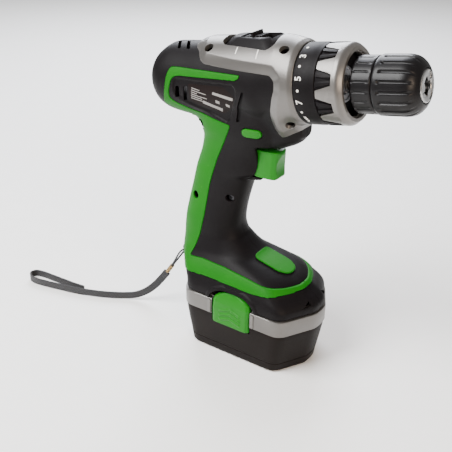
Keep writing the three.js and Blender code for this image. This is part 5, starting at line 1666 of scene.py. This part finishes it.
@dataclass
class Strap:
    """The wrist strap: a thin cord through the ear, a crimp and a loop of webbing."""

    cord: tuple = (
        (-85.8, -2.7, 42.5), (-81.8, -3.4, 49.2), (-77.4, -5, 56.6), (-73, -6.2, 62.8),
        (-70, -5.6, 65.6), (-69, -3, 66.2), (-69, 0, 66.2), (-69, 3, 66.2), (-70, 5.6, 65.6),
        (-73, 6.2, 62.8), (-77.4, 4.4, 56.6), (-81.8, 1.6, 49.2), (-85.8, -0.3, 42.5))
    webbing: tuple = (
        (-91.3, -2.5, 33.9), (-97, -3.7, 25.6), (-103.5, -6, 17), (-111, -9.4, 9.8),
        (-119.5, -13.9, 5.2), (-129, -19.2, 3.7), (-138, -24.6, 3.5), (-147, -29.4, 3.5),
        (-156, -33.2, 3.5), (-165, -36.6, 3.5), (-175, -39.6, 3.5), (-188, -42.8, 3.5),
        (-202, -46, 3.5), (-212.5, -47.8, 3.5), (-220.6, -46.8, 3.5), (-225, -42.4, 3.5),
        (-223.4, -37.6, 3.5), (-216, -35.4, 3.5), (-203, -34.6, 3.5), (-190, -34, 3.5),
        (-178, -33.4, 3.5), (-166.5, -32.2, 3.5))
    crimp: tuple = ((-86, -1.5, 42.2), (-91, -2.4, 34.4))
    crimp_rows: tuple[Point, ...] = (
        (-0.4, 1.7), (0, 2.2), (0.8, 2.35), (2.6, 2.35), (3.1, 2.0), (3.6, 2.35), (6.4, 2.35),
        (6.9, 2.0), (7.4, 2.35), (8.9, 2.3), (9.5, 1.9))
    ribbon: tuple[Point, ...] = ((-0.75, -3.0), (-0.45, -3.25), (0.45, -3.25), (0.75, -3.0),
                                 (0.75, 3.0), (0.45, 3.25), (-0.45, 3.25), (-0.75, 3.0))

    @staticmethod
    def smooth(route: Sequence[Sequence[float]], step: float) -> np.ndarray:
        """Points every `step` mm or so along a centripetal curve through the route."""
        p = np.array(route, float)
        p = np.vstack([2 * p[0] - p[1], p, 2 * p[-1] - p[-2]])
        made = []
        for a, b, c, d in zip(p, p[1:], p[2:], p[3:]):
            t1 = np.linalg.norm(b - a) ** 0.5
            t2 = t1 + np.linalg.norm(c - b) ** 0.5
            t3 = t2 + np.linalg.norm(d - c) ** 0.5
            count = max(2, round(np.linalg.norm(c - b) / step))
            for t in np.linspace(t1, t2, count, endpoint=False):
                a1 = a + (b - a) * t / t1
                a2 = b + (c - b) * (t - t1) / (t2 - t1)
                a3 = c + (d - c) * (t - t2) / (t3 - t2)
                b1 = a1 + (a2 - a1) * t / t2
                b2 = a2 + (a3 - a2) * (t - t1) / (t3 - t1)
                made.append(b1 + (b2 - b1) * (t - t1) / (t2 - t1))
        return np.array(made + [p[-2]])

    @staticmethod
    def swept(name: str, path: np.ndarray, section: Sequence[Point], upright: bool) -> Piece:
        """A section drawn along a path.

        Args:
            name: the object's name.
            path: points in mm.
            section: (across, up) points in mm.
            upright: whether the section's second axis stays as near to vertical as it can.

        Returns:
            The solid.
        """
        way = np.gradient(path, axis=0)
        way /= np.linalg.norm(way, axis=1)[:, None]
        helper = np.array([0, 0, 1.0])
        rings = []
        for at, along in zip(path, way):
            across = np.cross(along, helper)
            if np.linalg.norm(across) < 0.2 and not upright:
                across = np.cross(along, (0, 1.0, 0))
            across /= np.linalg.norm(across)
            up = np.cross(across, along)
            rings.append(np.array([at + across * a + up * b for a, b in section]))
        return loft(name, rings)

    @staticmethod
    def length(path: np.ndarray) -> float:
        """A path's length in metres."""
        return float(np.linalg.norm(np.diff(path, axis=0), axis=1).sum() * MM)

    def build(self) -> None:
        """Makes the cord, the crimp and the webbing."""
        line = self.smooth(self.cord, 1.2)
        leader = self.swept("strap_cord", line, circle(0.8, 16), False)
        finished(leader, WEBBING, "housing", ["strap_leader"])
        a, b = np.array(self.crimp[0]), np.array(self.crimp[1])
        way = (b - a) / np.linalg.norm(b - a)
        side = np.cross(way, (0, 0, 1))
        side /= np.linalg.norm(side)
        over = np.cross(way, side)
        turn = np.linspace(0, 2 * math.pi, 32, endpoint=False)
        ring = np.outer(np.cos(turn), side) + np.outer(np.sin(turn), over * 0.8)
        crimp = loft("strap_crimp_sleeve", [a + way * s + ring * r for s, r in self.crimp_rows])
        finished(crimp, BRASS, "housing", ["strap_crimp"])
        route = self.smooth(self.webbing, 1.5)
        webbing = self.swept("strap_loop", route, self.ribbon, True)
        finished(webbing, WEBBING, "housing", ["strap_webbing"])


# ---------------------------------------------------------------- scene


@dataclass
class Studio:
    """Camera, floor and soft light."""

    position: tuple = (0.2915, -0.4849, 0.4003)
    right: tuple = (0.8272, 0.5615, 0.0185)
    up: tuple = (-0.2727, 0.3725, 0.8869)
    back: tuple = (0.4912, -0.7388, 0.4613)
    lens: float = 63.53
    # Name, place in metres, size in metres, watts and colour of each lamp.
    lamps: tuple = (("key", (-0.5, -0.7, 1.1), 0.8, 44.0, "#ffffff"),
                    ("front", (0.9, -0.5, 0.6), 0.5, 9.0, "#ffe6cc"),
                    ("rear", (-0.6, 0.8, 0.8), 0.8, 24.0, "#f4f7ff"))
    aim: tuple = (0, 0, 0.13)
    floor_half: float = 3000.0
    floor_gap: float = 0.4
    sky: str = "#f3f2f0"
    sky_strength: float = 0.42

    def camera(self) -> None:
        """Places the camera."""
        data = bpy.data.cameras.new("camera")
        data.lens, data.sensor_width, data.clip_start = self.lens, 36.0, 0.01
        camera = bpy.data.objects.new("camera", data)
        axes = Matrix((self.right, self.up, self.back)).transposed()
        camera.matrix_world = Matrix.Translation(self.position) @ axes.to_4x4()
        bpy.context.scene.collection.objects.link(camera)
        bpy.context.scene.camera = camera

    def lamp(self, name: str, at: Sequence[float], size: float, watts: float,
             colour: str) -> None:
        """A soft square lamp aimed at the tool's middle.

        Args:
            name: the lamp's name.
            at: its place in metres.
            size: its side in metres.
            watts: its power.
            colour: its colour as sRGB hex.
        """
        data = bpy.data.lights.new(name, "AREA")
        data.energy, data.size = watts, size
        data.color = linear(colour)[:3]
        obj = bpy.data.objects.new(name, data)
        aim = Vector(self.aim) - Vector(at)
        obj.location = at
        obj.rotation_euler = aim.to_track_quat("-Z", "Y").to_euler()
        bpy.context.scene.collection.objects.link(obj)

    def build(self) -> None:
        """Makes floor, world and lamps."""
        corners = [(x * self.floor_half, y * self.floor_half, -self.floor_gap)
                   for x, y in ((-1, -1), (1, -1), (1, 1), (-1, 1))]
        floor = new_object("floor", np.array(corners), [[0, 1, 2, 3]])
        pale = Finish("pale_painted_floor", "#fbfbfa", "#f7f7f6", "#ffffff", 0.6, 2.0, 0.005,
                      wear=0.0, specular=0.2)
        dress(floor, pale)
        world = bpy.data.worlds.new("studio")
        world.use_nodes = True
        sky = world.node_tree.nodes["Background"]
        sky.inputs["Color"].default_value = linear(self.sky)
        sky.inputs["Strength"].default_value = self.sky_strength
        bpy.context.scene.world = world
        for row in self.lamps:
            self.lamp(*row)


class Internals:
    """The pieces inside, which keep their CAD shapes."""

    @staticmethod
    def build(frame: dict) -> None:
        """Gives every CAD node the finish of its slot, but the motor can, which is painted dark as
        shade inside the side vents.
        """
        slots = {row["node"]: row["material_slot"] for row in frame["record"]["subparts"]}
        for name, node in frame["nodes"].items():
            # The motor can takes the dark steel instead of its slot's steel: painted shade for the
            # inside of the side vents, not the can's own colour.
            finish = DARK_STEEL_AND_VENT_SHADE if name == "motor_can" else SLOT_FINISH[slots[name]]
            dress(node, finish, 30)


def main() -> None:
    """Builds the whole scene."""
    logging.basicConfig(level=logging.INFO, format="%(message)s")
    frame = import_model()
    studio = Studio()
    studio.camera()
    Internals.build(frame)
    Strap().build()
    Casing().build()
    Screws().build()
    SpeedControl().build()
    TorqueCollar().build()
    Chuck().build()
    Controls().build()
    BatteryPack().build()
    studio.build()


if __name__ == "__main__":
    main()
